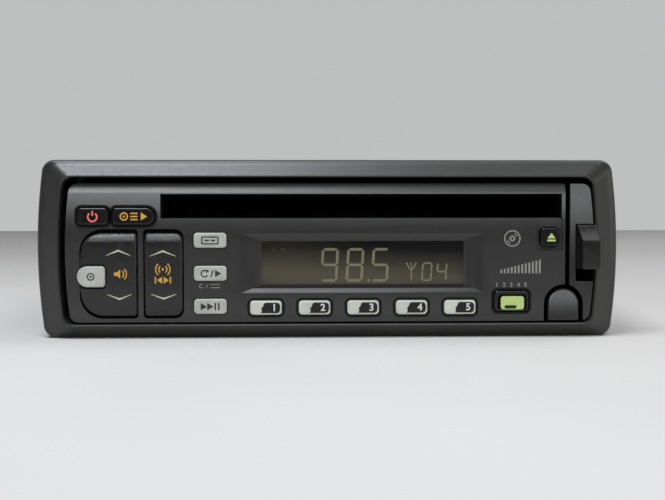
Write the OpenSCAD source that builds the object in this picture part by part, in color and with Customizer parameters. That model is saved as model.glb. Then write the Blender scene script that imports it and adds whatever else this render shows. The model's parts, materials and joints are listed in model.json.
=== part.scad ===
// Car CD player: a single-slot receiver with a swing-out detachable face and a slot-loading disc drive.
// Millimetres. +X is the viewer's right, the front faces -Y and +Z is up.
// Depths are measured from the dashboard plane, where the bezel's back meets the chassis.

/* [Face panel] */
// Corner radius of the face
face_r = 3; // [1:0.5:4]
// Thickness of the face's front wall
face_wall = 2; // [1.6:0.1:2.4]
// Set-back of the face behind the bezel's front edge
face_inset = 0.5; // [0:0.1:1]
// Thickness of the left side of the shell, which carries the hinge
rim_left = 2.8; // [2.4:0.1:3]
// Thickness of the right side of the shell
rim_right = 1.2; // [0.8:0.1:1.2]
// Thickness of the bottom of the shell
rim_bottom = 0.8; // [0.6:0.1:0.8]
// Thickness of the top of the shell
rim_top = 1.6; // [1:0.1:2]
// Height of the slope along the top edge of the face
top_slope_h = 3; // [1:0.1:3.2]
// Depth of the slope along the top edge of the face
top_slope_d = 2; // [1:0.1:4]
// Thickness of the rear cover of the face
rear_cover_t = 1.5; // [1:0.1:2]
// Set-back of the rear cover from the left edge, so that it clears the carrier as the face swings
rear_cover_set = 2.7; // [2.6:0.1:3.4]
// Gap between the rear cover and the front carrier
face_back_gap = 0.5; // [0.5:0.1:1]

/* [Face hinge] */
// Distance of the hinge axis from the left edge of the face
hinge_x = 4.5; // [4:0.1:4.6]
// Distance of the hinge axis behind the front of the face
hinge_y = 4.5; // [4:0.1:5]
// Radius of the hinge pins
hinge_r = 1.2; // [0.8:0.1:1.4]
// Length of a hinge pin inside its bore
hinge_reach = 2; // [1:0.1:2.4]
// Running clearance of every pin in its bore
pin_fit = 0.05; // [0.02:0.01:0.08]

/* [Bezel] */
// Depth of the bezel in front of the dashboard plane
bezel_d = 18; // [17:0.5:21]
// Width of each side border
border_side = 7.8; // [6:0.1:9]
// Height of the top border
border_top = 5.7; // [4.6:0.1:7]
// Height of the bottom border
border_bottom = 4.8; // [3.6:0.1:6]
// How far each side bulges outwards at mid-height
bezel_bulge = 2.2; // [1:0.1:3]
// Outer corner radius of the bezel
bezel_r = 3; // [1:0.5:4]
// Corner radius of the bezel's opening
open_r = 3.5; // [1:0.5:4]
// How far each side of the opening, and of what fills it, bulges outwards at mid-height
open_bulge = 1.6; // [1:0.1:2]
// Flat lip between the opening and the sloped border
bezel_lip = 0.6; // [0.3:0.1:1.5]
// How far the sloped borders fall back at the outer edge
bezel_fall = 4.5; // [2:0.5:7]
// Gap at the left of the face
gap_left = 1.9; // [1.8:0.1:3]
// Gap above the face
gap_top = 1.9; // [0.6:0.1:3]
// Gap below the face
gap_bottom = 0.6; // [0.4:0.1:1.5]

/* [Right strip] */
// Gap between the face and the fixed strip
gap_strip = 1.5; // [1:0.1:2.5]
// Width of the fixed strip at the right
strip_w = 8.1; // [8:0.1:10]
// Gap between the fixed strip and the bezel
strip_gap = 0.4; // [0.2:0.1:1]
// Thickness of the strip's walls
strip_wall = 1; // [0.8:0.1:1.2]
// Height of the bottom of the lever window above the face's bottom
window_z = 12.9; // [12.8:0.1:14]
// Height of the lever window
window_h = 18.6; // [18.4:0.1:20]
// Width of the strip left of the lever window
window_x = 2; // [1.8:0.1:2.4]
// How far the release lever's ridge stands out in front of the bezel
lever_proud = 2.5; // [1.5:0.1:4]
// How far the lever's top lies behind its ridge
lever_back = 1.4; // [0.5:0.1:1.5]
// How far the lever's left side comes in below its ridge
lever_slant = 1.5; // [0.5:0.1:2]
// How far the lever's thumb piece laps over the bezel
lever_lap = 1.1; // [0.2:0.1:2]
// Travel of the release lever
lever_travel = 3.8; // [2:0.1:5]
// Width of the half-round corner tab
tab_w = 10.1; // [9:0.1:10.5]
// Height of the half-round corner tab
tab_h = 10.5; // [10:0.1:10.6]
// Width of the tab in front of the face's right end
tab_lap = 5.5; // [5:0.1:5.6]
// Gap around the half-round corner tab
tab_gap = 1.4; // [1:0.1:1.4]

/* [Disc slot] */
// Room at each side of a disc in the slot
slot_side = 5.05; // [4:0.05:7]
// Height of the disc slot
slot_h = 7.9; // [7:0.1:9]
// Distance between the mode key and the slot
slot_left = 1.8; // [1.8:0.1:4]
// Height of the slot above the rockers
slot_lift = 3.9; // [3.9:0.1:6]
// Height of the face above the slot
slot_above = 3.4; // [3.2:0.1:6]
// Thickness of the wall around the slot's tunnel
tunnel_wall = 1.2; // [1:0.1:1.2]

/* [Keys] */
// How far each key stands out in front of the face
key_proud = 0.8; // [0.4:0.1:1.2]
// Clearance around each push key
key_gap = 0.3; // [0.2:0.05:0.35]
// Gap between a key's flange and the front wall
seat_gap = 0.1; // [0.05:0.05:0.2]
// Thickness of a key's flange
flange_t = 1.2; // [0.8:0.1:1.4]
// How far a flange reaches above and below its key
flange_lip = 0.6; // [0.5:0.05:0.7]
// Radius of a key's stem
stem_r = 1.2; // [0.8:0.1:1.4]
// Travel of a push key
key_travel = 0.8; // [0.4:0.1:0.8]
// Gap left between stem and switch at the end of the travel
switch_gap = 0.25; // [0.2:0.05:0.4]
// Distance from the front wall to the circuit board behind the keys
switch_room = 5.5; // [5.3:0.1:6]
// Side of a switch's square body
switch_w = 4.4; // [3.5:0.1:4.4]
// Height of a switch's body
switch_h = 2; // [1.5:0.1:2.1]
// Radius of a switch's plunger
plunger_r = 1; // [0.6:0.1:1.4]
// Height of a switch's plunger
plunger_h = 0.6; // [0.4:0.1:0.7]
// Distance of the power key from the shell's left side
power_in = 1.3; // [1:0.1:3]
// Width of the power key
power_w = 9.8; // [8:0.1:12]
// Distance between the power and mode keys
top_key_space = 1.4; // [1:0.1:3]
// Width of the mode key
mode_w = 13.5; // [12:0.1:16]
// Height of the power and mode keys
top_key_h = 5.5; // [4:0.1:5.6]
// Height of the power and mode keys above the rockers
top_key_lift = 1.8; // [1.7:0.1:3]
// How far the select key reaches left of the volume rocker
select_out = 1.2; // [0.5:0.1:1.3]
// How far the select key's centre lies below the middle of the rockers
select_drop = 0.85; // [0:0.05:1]
// Width of the select key
select_w = 9.1; // [8:0.1:10]
// Height of the select key
select_h = 6.9; // [6:0.1:8]
// Wall around the select key
select_wall = 1.2; // [1:0.1:1.4]
// Depth of the wall around the select key behind the front of the face
select_recess = 1.1; // [0.9:0.1:1.2]
// Thickness of the volume rocker's lip, which covers that wall
select_lip = 1; // [0.8:0.1:1.1]
// Clearance between the select key and the volume rocker's lip
select_gap = 0.55; // [0.5:0.05:0.8]
// Distance of the three side keys from the tune rocker's ear
side_key_space = 1.7; // [0.5:0.1:3]
// Height of the lowest side key's centre
side_key_z = 5.1; // [4.8:0.1:6]
// Spacing of the side keys
side_key_pitch = 10.7; // [9:0.1:11]
// Width of the side keys
side_key_w = 10.6; // [9:0.1:12]
// Height of the side keys
side_key_h = 4.9; // [4.4:0.1:5.4]
// Distance between the side keys and the first preset key
preset_space = 7.45; // [3:0.05:10]
// Distance between the last preset key and the auto-preset key
preset_end = 6.05; // [3:0.05:8]
// Height of the preset keys' centres
preset_z = 4.6; // [4.5:0.1:5.4]
// Width of a preset key
preset_w = 10.3; // [9:0.1:12]
// Height of a preset key
preset_h = 4.6; // [4:0.1:5.2]
// Distance of the auto-preset key from the right end of the face
auto_in = 12; // [10:0.1:14]
// Height of the auto-preset key's centre
auto_z = 6.55; // [5.5:0.05:7]
// Width of the auto-preset key
auto_w = 11.3; // [10:0.1:12]
// Height of the auto-preset key
auto_h = 6.7; // [6:0.1:7.5]
// Distance of the eject key's centre from the right end of the face
eject_x = 5.15; // [5.1:0.05:5.4]
// How far the eject key's centre lies below the slot
eject_drop = 6.25; // [6.2:0.05:7.5]
// Width of the eject key
eject_w = 6; // [5:0.1:6.1]
// Height of the eject key
eject_h = 6.1; // [5:0.1:6.1]
// Width of the shallow recess around the eject key
eject_recess_w = 8.6; // [8:0.1:8.8]
// Depth of the shallow recess around the eject key
eject_recess_d = 0.8; // [0.4:0.1:1]

/* [Rockers] */
// Distance of the volume rocker from the shell's left side
volume_in = 2.1; // [2:0.1:4]
// Width of the volume rocker
volume_w = 18.1; // [17:0.1:18.1]
// Width of the bar between the rockers
rocker_bar = 1.7; // [1.5:0.1:2]
// Width of the tune rocker
tune_w = 12.4; // [11:0.1:12.4]
// Height of the bottom of the rockers
rocker_z = 1.7; // [1.7:0.05:2]
// Height of the rockers
rocker_h = 28; // [26:0.1:28]
// Radius of the volume rocker's left corners
volume_r = 7.5; // [6:0.5:9]
// Radius of the tune rocker's right corners
tune_r = 3; // [1:0.5:5]
// Clearance above and below each rocker
rocker_gap = 0.45; // [0.4:0.05:0.5]
// Depth of the rocker axis behind the front wall
rocker_axis = 1.5; // [1.4:0.1:1.8]
// Radius of the rocker pins
rocker_pin_r = 1; // [0.8:0.1:1.1]
// Thickness of the ears that carry the rocker pins
ear_t = 1.5; // [1.2:0.1:1.6]
// Height of a switch from the rocker axis
rocker_reach = 9; // [7:0.5:10]
// Angle that a rocker tips each way
rocker_tip = 3; // [1:0.5:3]

/* [Display] */
// Distance of the display window from the side keys
display_space = 11.1; // [10:0.1:14]
// Distance of the display window from the right end of the face
display_right = 33.1; // [28:0.1:36]
// Height of the display window above the bottom of the face
display_z = 12; // [11.8:0.1:12.2]
// Height of the display window
display_h = 14.1; // [13:0.1:14.4]
// Width of the sloped frame at the sides of the window
display_side = 6.4; // [4:0.1:6.6]
// Height of the sloped frame above and below the window
display_edge = 2.6; // [1.5:0.1:2.8]
// Thickness of the display lens
lens_t = 1.5; // [1:0.1:2]
// How far the lens laps behind the front wall
lens_lap = 1; // [0.6:0.1:1.4]

/* [Chassis] */
// Room between the disc drive and the back of the chassis
rear_room = 14.8; // [13:0.1:30]
// How far each chassis side lies outside the bezel's opening
case_lap = 2.1; // [2:0.1:3]
// How far the chassis lies above and below the bezel's opening
case_lap_z = 1.3; // [1.2:0.1:2]
// Thickness of the sheet metal
sheet = 1; // [0.8:0.1:1.2]
// Thickness of the front carrier
carrier_t = 2.5; // [2:0.1:3]
// Clearance of the carrier inside the bezel
carrier_gap = 0.15; // [0.1:0.05:0.3]
// Width of the lips at the front of the chassis
lip_w = 4; // [3:0.5:6]
// Distance of the first side mounting hole behind the dashboard plane
mount_y = 45; // [40:1:60]
// Spacing of the two side mounting holes
mount_pitch = 60; // [50:1:60]
// Height of the side mounting holes above the chassis bottom
mount_z = 25; // [20:1:30]
// Diameter of the side mounting holes
mount_hole_d = 5.5; // [5.3:0.1:6]
// Distance of the first cover screw behind the dashboard plane
cover_screw_y = 30; // [25:1:35]
// Spacing of the cover screws
cover_screw_pitch = 45; // [40:1:48]
// Depth of the cover screws below the top of the chassis
cover_screw_drop = 5; // [4:0.5:7]
// Diameter of the cover screws' shanks
screw_d = 3; // [2.5:0.1:3]
// Diameter of the cover screws' heads
screw_head_d = 5.6; // [5:0.1:6.5]
// Thickness of the cover screws' heads
screw_head_t = 1.6; // [1:0.1:2.2]
// Height of the cover's side flanges
cover_flange_h = 9; // [8:0.5:12]
// Clearance of the cover's side flanges and the screws
cover_gap = 0.1; // [0.05:0.05:0.2]

/* [Rear] */
// Width of the heat sink
sink_w = 58; // [50:1:62]
// Height of the heat sink
sink_h = 43; // [36:1:46]
// Thickness of the heat sink's base
sink_base = 3; // [2:0.5:5]
// Length of the heat sink's fins
fin_d = 7; // [4:0.5:8]
// Thickness of the heat sink's fins
fin_t = 1.5; // [1:0.1:2.5]
// Number of the heat sink's fins
fin_count = 9; // [5:1:11]
// Distance of the heat sink from the chassis' left side
sink_in = 3; // [3:0.5:8]
// Length of the threaded rear stud
stud_l = 10; // [8:1:12]
// Diameter of the threaded rear stud
stud_d = 5; // [4:0.5:6]
// Height of the rear stud above the chassis bottom
stud_z = 35.3; // [20:0.1:40]
// Width of each cavity in the rear connector
socket_w = 19; // [16:0.5:20]
// Height of the rear connector's cavities
socket_h = 15; // [10:0.5:16]
// Depth of the rear connector's cavities
socket_d = 11; // [10:0.5:12]
// Wall of the rear connector
socket_wall = 2; // [1.5:0.1:2.5]
// Length of the contact pins in the rear connector
socket_pin_l = 4.5; // [3:0.5:5]
// Distance of the aerial socket's centre from the chassis' right wall
aerial_in = 13; // [10:0.5:16]
// Outer diameter of the aerial socket
aerial_d = 12; // [11:0.5:14]
// Bore of the aerial socket
aerial_bore = 8; // [8:0.1:8.5]
// Height of the aerial socket above the chassis bottom
aerial_z = 17.3; // [12:0.1:30]
// Distance of the aerial socket's centre from the fuse
aerial_space = 10; // [9:0.1:12]
// Diameter of each line-out jack
jack_d = 8.2; // [7:0.1:9]
// Height of the upper line-out jack above the chassis bottom
jack_z = 38.3; // [36:0.1:40]
// Spacing of the line-out jacks
jack_pitch = 14; // [11:0.5:14]

/* [Disc drive] */
// Diameter of a disc
disc_d = 120; // [120:0.5:122]
// Room at each side of a disc
disc_side = 4; // [3:0.1:4]
// How far a loaded disc's front edge lies behind the dashboard plane
disc_in = 12; // [10:0.5:12]
// Room behind a loaded disc
disc_rear = 2; // [1:0.5:3]
// Thickness of the drive's sheet metal
drive_t = 1.2; // [1:0.1:1.5]
// How far the turntable's rim lies below the disc's path
table_drop = 3.9; // [3.5:0.1:4]
// How far the upper guide lies above the disc's path
guide_rise = 2.5; // [2.5:0.1:3]
// Radius of the turntable
table_r = 13; // [11:0.5:13.5]
// Height of the turntable's centring cone
cone_h = 1.4; // [1:0.1:1.5]
// Radius of the spindle motor
spindle_motor_r = 10; // [8:0.5:12]
// Radius of the spindle shaft
shaft_r = 1; // [0.8:0.1:1.5]
// Radius of the feed roller
roller_r = 4; // [3:0.1:4]
// Distance of the feed roller behind the dashboard plane
roller_y = 16; // [14:0.5:17]
// How far the feed roller's axis lies below the disc's path
roller_drop = 7; // [7:0.1:7.5]
// Distance from the roller to the roller arm's pivot
arm_l = 18; // [17:0.5:22]
// How far the roller arm's pivot lies below the roller's axis
arm_drop = 4.2; // [4:0.1:4.4]
// Radius of the belt's pulleys
pulley_r = 3.2; // [2.5:0.1:3.4]
// Thickness of the belt
belt_t = 0.8; // [0.6:0.1:1]
// Radius of the loading motor
load_motor_r = 5.4; // [4:0.1:5.4]
// Radius of the guide rods and of the lead screw
rod_r = 1.5; // [1:0.1:1.5]
// Distance of the guide rods from the spindle, towards the front and the rear
rod_reach = 13; // [12:0.5:14]
// Distance of the lead screw behind the spindle
screw_reach = 21; // [20:0.5:22]
// Nearest distance of the pickup lens from the spindle
lens_in = 24; // [23:0.5:25]
// Module of the sled gears
gear_module = 0.5; // [0.4:0.1:0.5]
// Teeth of the gear on the lead screw
screw_teeth = 20; // [18:1:20]
// Teeth of the sled motor's pinion
pinion_teeth = 10; // [9:1:12]
// Radius of the sled motor
sled_motor_r = 5; // [4:0.1:5.2]
// Radius of the clamper puck
puck_r = 12; // [10:0.5:12]
// How far the clamp arm's pivot lies inside the rear edge of a disc
clamp_in = 4; // [3:0.5:8]
// Half the width of the clamp arm
clamp_half = 9; // [7:0.5:10]

/* [Hidden] */

// Fine circles, a short overrun for cuts, and how far corners follow the bulge of a side
$fn = 64;
bulge_fn = 360;
cut = 1;
corner_share = 0.95;

// Colours
charcoal = "#3e3e3c";
black = "#141414";
light_grey = "#c3c3bc";
pale_green = "#cdd2c3";
lime = "#c8de8c";
smoke = "#4a463c";
zinc = "#b9bcbe";
alloy = "#d0d2d4";
board_green = "#2f5b3a";
rubber_black = "#1c1c1c";
ivory = "#e4e0d2";
brass = "#c9a85a";
steel = "#d8dade";

// Chain of widths and heights across the face
key_r = 1.2;
preset_count = 5;
power_x = rim_left + power_in + power_w / 2;
mode_x = power_x + power_w / 2 + top_key_space + mode_w / 2;
slot_x = mode_x + mode_w / 2 + slot_left;
slot_w = disc_d + 2 * slot_side;
slot_z = rocker_z + rocker_h + slot_lift;
top_key_z = rocker_z + rocker_h + top_key_lift + top_key_h / 2;
eject_z = slot_z - eject_drop;
face_w = slot_x + slot_w + rim_right;
face_h = slot_z + slot_h + slot_above;
side_hollow_h = face_h - rim_top;
volume_x = rim_left + volume_in;
rocker_mid = rocker_z + rocker_h / 2;
select_at = [volume_x - select_out + select_w / 2, rocker_mid - select_drop];
tune_x = volume_x + volume_w + rocker_bar + 2 * key_gap;
side_key_x = tune_x + tune_w + key_gap + ear_t + side_key_space + side_key_w / 2;
side_end = side_key_x + side_key_w / 2;
auto_at = [face_w - auto_in - auto_w / 2, auto_z];
preset_x = side_end + preset_space + preset_w / 2;
preset_last = auto_at.x - auto_w / 2 - preset_end - preset_w / 2;
preset_pitch = (preset_last - preset_x) / (preset_count - 1);
display_x = side_end + display_space;
display_w = face_w - display_right - display_x;

// Outlines of the front
open_w = gap_left + face_w + gap_strip + strip_w + strip_gap;
open_h = gap_bottom + face_h + gap_top;
open_x = -open_w / 2;
open_z = border_bottom;
bezel_w = open_w + 2 * border_side;
bezel_h = border_bottom + open_h + border_top;
face_x = open_x + gap_left;
face_z = open_z + gap_bottom;
strip_x = face_w + gap_strip;
tab_x = face_w - tab_lap + tab_w / 2;

// Depths of the front
front_y = -bezel_d;
face_y = front_y + face_inset;
wall_y = face_y + face_wall;
flange_y = wall_y + seat_gap;
stem_y = flange_y + flange_t;
pcb_y = wall_y + switch_room;
pcb_t = 1.6;
plunger_y = pcb_y - switch_h - plunger_h;
stem_end = plunger_y - switch_gap - key_travel;
carrier_y = -carrier_t;
cover_y = carrier_y - face_back_gap;
shell_y = cover_y - rear_cover_t;
hinge_at = [face_x + hinge_x, face_y + hinge_y];
pcb_gap = 0.4;
hollow_r = 2;
boss_r = 1.6;
boss_z = 20.9;
boss_in = 3.7;
boss_right = 24.4;
boss_corner = [10.9, 15.4];
boss_top = 4.5;
boss_at = [
    [side_end + boss_in, boss_z],
    [face_w - boss_right, boss_z],
    [face_w - boss_corner.x, boss_corner.y],
    [power_x + power_w / 2 + boss_in, face_h - boss_top]
];
plug_right = 36.9;
plug_z = 3.4;
plug_at = [face_w - plug_right, plug_z];
plug_size = [26, 6];
plug_gap = 0.3;
plug_wall = 0.5;
socket_depth = 5;

// Keys: centre, size and corner radii in the plane of the face
key_rs = [key_r, key_r, key_r, key_r];
mode_end_r = top_key_h / 2;
power = [[power_x, top_key_z], [power_w, top_key_h], key_rs];
mode = [[mode_x, top_key_z], [mode_w, top_key_h], [key_r, mode_end_r, mode_end_r, key_r]];
select = [select_at, [select_w, select_h], [select_h / 2, key_r, key_r, select_h / 2]];
auto_preset = [auto_at, [auto_w, auto_h], key_rs];
eject = [[face_w - eject_x, eject_z], [eject_w, eject_h], key_rs];
side_keys = [
    for (i = [0 : 2])
    [[side_key_x, side_key_z + i * side_key_pitch], [side_key_w, side_key_h], key_rs]
];
presets = [
    for (i = [0 : preset_count - 1])
    [[preset_x + i * preset_pitch, preset_z], [preset_w, preset_h], key_rs]
];
push_keys = concat([power, mode, select, auto_preset, eject], side_keys, presets);

// Rockers
rocker_y = wall_y + rocker_axis;
surround_w = select_at.x + select_w / 2 + key_gap + select_wall;
surround_h = select_h + 2 * (key_gap + select_wall);
hub_half = 2.4;
hub_back = 1.6;
ear_back = 1.8;
pin_reach = 0.8;
volume_post_x = (surround_w + rocker_gap + volume_x + volume_w) / 2;
tune_post_x = tune_x + tune_w / 2;
rocker_stem_end = plunger_y - switch_gap - rocker_reach * sin(rocker_tip);
rocker_switches = [
    for (x = [volume_post_x, tune_post_x], side = [-1, 1])
    [x, rocker_mid + side * rocker_reach]
];

// Lever
lever_gap = 0.2;
lever_x = strip_x + window_x + key_gap;
lever_w = strip_w - window_x - 2 * key_gap;
lever_stop = 0.3;
lever_h = window_h - lever_gap - lever_travel - lever_stop;
lever_z = window_z + lever_stop + lever_travel;
lever_room = 1;
thumb_w = strip_x + strip_w + strip_gap + lever_lap - lever_x;
thumb_ease = 0.9;
ridge_z = 0.63 * lever_h;

// Chassis
spindle_y = disc_in + disc_d / 2;
drive_y1 = spindle_y + disc_d / 2 + disc_rear + drive_t;
case_d = drive_y1 + rear_room;
case_w = open_w + 2 * case_lap;
case_h = open_h + 2 * case_lap_z;
case_z = open_z - case_lap_z;
floor_z = case_z + sheet;
roof_z = case_z + case_h - sheet;
wall_x = case_w / 2 - sheet;
rear_y = case_d - sheet;
rear_most = case_d + max(sink_base + fin_d, stud_l);
shift = -(front_y - lever_proud + rear_most) / 2;
cover_screws_n = 3;
screw_z = roof_z - cover_screw_drop;
screw_grip = 2;
flange_in = 12;
mount_holes_n = 2;
board_rise = 5.3;
board_z = floor_z + board_rise;
board_edge = 4;
board_front = 8;
board_rear = 10;
board_y = [board_front, case_d - board_rear];
standoff_r = 3;
standoff_in = [10, 6];
shell_gap = 0.2;
shell_flange = 1.5;
connector_rise = 4.5;
connector_z = floor_z + connector_rise;
connector_in = 9;
connector_out = 7;
connector_w = 2 * socket_w + 3 * socket_wall;
connector_h = socket_h + 2 * socket_wall;
contact_r = 0.8;
contact_pitch = [4, 6];
aerial_depth = 14;
jack_hole_r = 1.6;
jack_hole_d = 8;
jack_edge = 2;
jack_block = [jack_d + 2 * jack_edge, jack_pitch + jack_d + jack_edge];
jack_in = 7;
stud_seat = 1;
fuse_rise = 4.8;
fuse_space = 5;
fuse_size = [12, 10];
aerial_at = [wall_x - aerial_in, case_z + aerial_z];
fuse_at = [aerial_at.x - aerial_space - fuse_size.x, floor_z + fuse_rise];
jack_at = [fuse_at.x + jack_in, case_z + jack_z];
connector_x = fuse_at.x - fuse_space - connector_w;
sink_x = case_w / 2 - sink_in - sink_w / 2;
stud_at = [(connector_x - sink_x + sink_w / 2) / 2, case_z + stud_z];
amp_size = [36, 5, 20];
can_size = [18, 45, 11];
cap_r = 6;
cap_h = 25;
cap_pitch = 20;

// Disc drive
drive_x = face_x + slot_x + slot_w / 2;
path_z = face_z + slot_z + slot_h / 2;
drive_half = disc_d / 2 + disc_side;
drive_in = drive_half - drive_t;
drive_y0 = 5;
motor_lift = 0.4;
base_z = path_z - roller_drop - arm_drop - load_motor_r - motor_lift;
guide_z = path_z + guide_rise;
table_z = path_z - table_drop;
table_t = 2.6;
table_gap = 0.4;
cone_r = 7.4;
cone_top_r = 6;
spindle_motor_h = table_z - table_t - table_gap - base_z;
rod_lift = 0.6;
rod_z = base_z + sled_motor_r + rod_lift;
sled_back = 9;
sled_space = 1;
block_t = 3;
rod_end = lens_in - sled_back - sled_space - block_t;
gear_set = 2;
block_half = 2.5;
screw_y = spindle_y + screw_reach;
gear_t = 3;
gear_x = rod_end - gear_set;
gear_backlash = 0.15;
gear_reach = (screw_teeth + pinion_teeth) * gear_module / 2 + gear_backlash;
pinion_y = screw_y + gear_reach;
motor_shaft_r = 0.75;
motor_gap = 0.5;
sled_motor_l = 19;
load_motor_l = 18;
saddle_half = 3;
sled_ahead = 5;
sled_edge = 4;
sled_below = 3.2;
sled_above = 4;
sled_screw_gap = 0.3;
lens_r = 3.2;
lens_top = table_z - 0.1;
roller_z = path_z - roller_drop;
pivot_y = roller_y + arm_l;
pivot_z = roller_z - arm_drop;
arm_x = drive_in - 1;
arm_pin = 1.8;
arm_r = 3.2;
arm_bar = [22.5, base_z + 0.85, 3, 2];
pulley_w = 2.5;
pulley_gap = 0.6;
pulley_x = arm_x - drive_t - pulley_gap;
belt_gap = 0.1;
roller_half = pulley_x - pulley_w - pulley_gap;
clamp_z = guide_z + drive_t + 0.6;
clamp_l = disc_d / 2 - clamp_in;
clamp_y = spindle_y + clamp_l;
clamp_pivot_z = clamp_z + drive_t / 2;
clamp_pin_r = 1.2;
clamp_barrel_r = 1.8;
clamp_nose = 6;
clamp_gap = 0.5;
clamp_ear_t = 2;
clamp_ear_r = 2.4;
puck_z = guide_z + 0.25;
puck_t = 1.2;
puck_hub_r = 2.5;
puck_gap = 0.3;
puck_cap_r = 4;
puck_cap_t = 0.75;
puck_room = 0.7;
post_r = 3.5;
post_gap = 0.6;
damper_h = 3;
damper_r = 4.5;
post_side = 14;
post_end = 17;
post_at = [
    for (x = [-1, 1], y = [drive_y0 + post_end, drive_y1 - post_end])
    [drive_x + x * (drive_half - post_side), y]
];

// Shapes that repeat
module at_dash() translate([0, shift, 0]) children();
module on_face() translate([face_x, face_z]) children();
module slab(y0, y1) translate([0, y1, 0]) rotate([90, 0, 0]) linear_extrude(y1 - y0) children();
module across(x0, x1) translate([x0, 0, 0]) rotate([90, 0, 90]) linear_extrude(x1 - x0) children();
module upright(z0, z1) translate([0, 0, z0]) linear_extrude(z1 - z0) children();
module box(from, to) translate(from) cube(to - from);

module corner(at, turn, r) {
    if (r > 0) translate(at) rotate(turn) difference() {
        translate([-cut, -cut]) square(r + cut);
        translate([r, r]) circle(r);
    }
}

// A plate with its own radius at each corner: bottom left, bottom right, top right, top left
module rounded(from, size, r) translate(from) difference() {
    square(size);
    corner([0, 0], 0, r[0]);
    corner([size.x, 0], 90, r[1]);
    corner(size, 180, r[2]);
    corner([0, size.y], 270, r[3]);
}

module key_outline(key, grow = 0) {
    rounded(
        key[0] - key[1] / 2 - [grow, grow],
        key[1] + 2 * [grow, grow],
        [for (r = key[2]) r + grow]
    );
}

module capsule(p, q, r) {
    d = q - p;
    translate(p) circle(r);
    translate(q) circle(r);
    translate(p) rotate(atan2(d.y, d.x)) translate([0, -r]) square([norm(d), 2 * r]);
}

module gear_outline(teeth, turn) {
    pitch_r = teeth * gear_module / 2;
    root_r = pitch_r - 1.2 * gear_module;
    tip_r = pitch_r + 0.8 * gear_module;
    step = 360 / teeth;
    polygon([
        for (i = [0 : teeth - 1], p = [[-0.26, root_r], [-0.1, tip_r], [0.1, tip_r], [0.26, root_r]])
        let (a = turn + (i + p[0]) * step) p[1] * [cos(a), sin(a)]
    ]);
}

// A plate with rounded corners whose left and right sides bulge outwards
module bulged(from, size, bulge, r) translate(from) {
    bulge_r = (pow(size.y / 2, 2) + pow(bulge, 2)) / (2 * bulge);
    corner_in = corner_share * (bulge_r - sqrt(pow(bulge_r, 2) - pow(size.y / 2 - r, 2)));
    difference() {
        intersection() {
            translate([size.x - bulge_r, size.y / 2]) circle(bulge_r, $fn = bulge_fn);
            translate([bulge_r, size.y / 2]) circle(bulge_r, $fn = bulge_fn);
            square(size);
        }
        corner([corner_in, 0], 0, r);
        corner([size.x - corner_in, 0], 90, r);
        corner([size.x - corner_in, size.y], 180, r);
        corner([corner_in, size.y], 270, r);
    }
}

// Trim bezel: a ring with bulged sides whose borders fall back towards the edges
module bezel_outline() bulged([-bezel_w / 2, 0], [bezel_w, bezel_h], bezel_bulge, bezel_r);

module open_outline(inset = 0) {
    margin = [inset, inset];
    bulged([open_x, open_z] + margin, [open_w, open_h] - 2 * margin, open_bulge, open_r - inset);
}

module bezel() color(charcoal) at_dash() difference() {
    intersection() {
        slab(front_y, 0) bezel_outline();
        across(-bezel_w / 2, bezel_w / 2) polygon([
            [0, 0], [front_y + bezel_fall, 0], [front_y, open_z - bezel_lip],
            [front_y, open_z + open_h + bezel_lip], [front_y + bezel_fall, bezel_h], [0, bezel_h]
        ]);
        upright(0, bezel_h) polygon([
            [-bezel_w / 2, 0], [-bezel_w / 2, front_y + bezel_fall], [open_x - bezel_lip, front_y],
            [-open_x + bezel_lip, front_y], [bezel_w / 2, front_y + bezel_fall], [bezel_w / 2, 0]
        ]);
    }
    slab(front_y - cut, cut) open_outline();
    hinge_pins(pin_fit);
}

// Pins of the face's hinge, which also cut their bores in the bezel
module hinge_pins(grow) {
    below = open_z - hinge_reach - grow;
    above = open_z + open_h + hinge_reach + grow;
    translate([hinge_at.x, hinge_at.y, below]) cylinder(r = hinge_r + grow, h = face_z + rim_bottom - below);
    translate([hinge_at.x, hinge_at.y, face_z + side_hollow_h]) {
        cylinder(r = hinge_r + grow, h = above - face_z - side_hollow_h);
    }
}

// Half-round tab at the lower right corner, and the notch that it sits in
module tab_outline(grow, below = 0) {
    arc_z = tab_h - tab_w / 2;
    translate([tab_x, arc_z]) circle(tab_w / 2 + grow);
    translate([tab_x - tab_w / 2 - grow, -below]) square([tab_w + 2 * grow, arc_z + below]);
}

module corner_tab() color(charcoal) at_dash() slab(face_y, carrier_y) on_face() tab_outline(0);

// Fixed strip at the right, hollow behind the lever window
module side_strip() color(charcoal) at_dash() difference() {
    slab(face_y, carrier_y) on_face() difference() {
        intersection() {
            bulged([strip_x - strip_w, 0], [2 * strip_w, face_h], open_bulge, open_r - strip_gap);
            translate([strip_x, 0]) square([strip_w, face_h]);
        }
        tab_outline(tab_gap, cut);
    }
    slab(face_y - cut, carrier_y + cut) on_face() {
        translate([strip_x + window_x, window_z]) square([strip_w, window_h]);
    }
    slab(face_y + strip_wall, carrier_y + cut) on_face() {
        translate([strip_x + strip_wall, window_z - lever_room]) {
            square([strip_w, window_h + 2 * lever_room]);
        }
    }
}

// Outline of the lever, whose left side comes in below the ridge
module lever_outline(w, ease) on_face() translate([lever_x, lever_z]) polygon([
    [lever_slant, 0], [w, 0], [w, ridge_z], [w - ease, lever_h], [0, lever_h], [lever_slant, ridge_z]
]);

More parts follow.
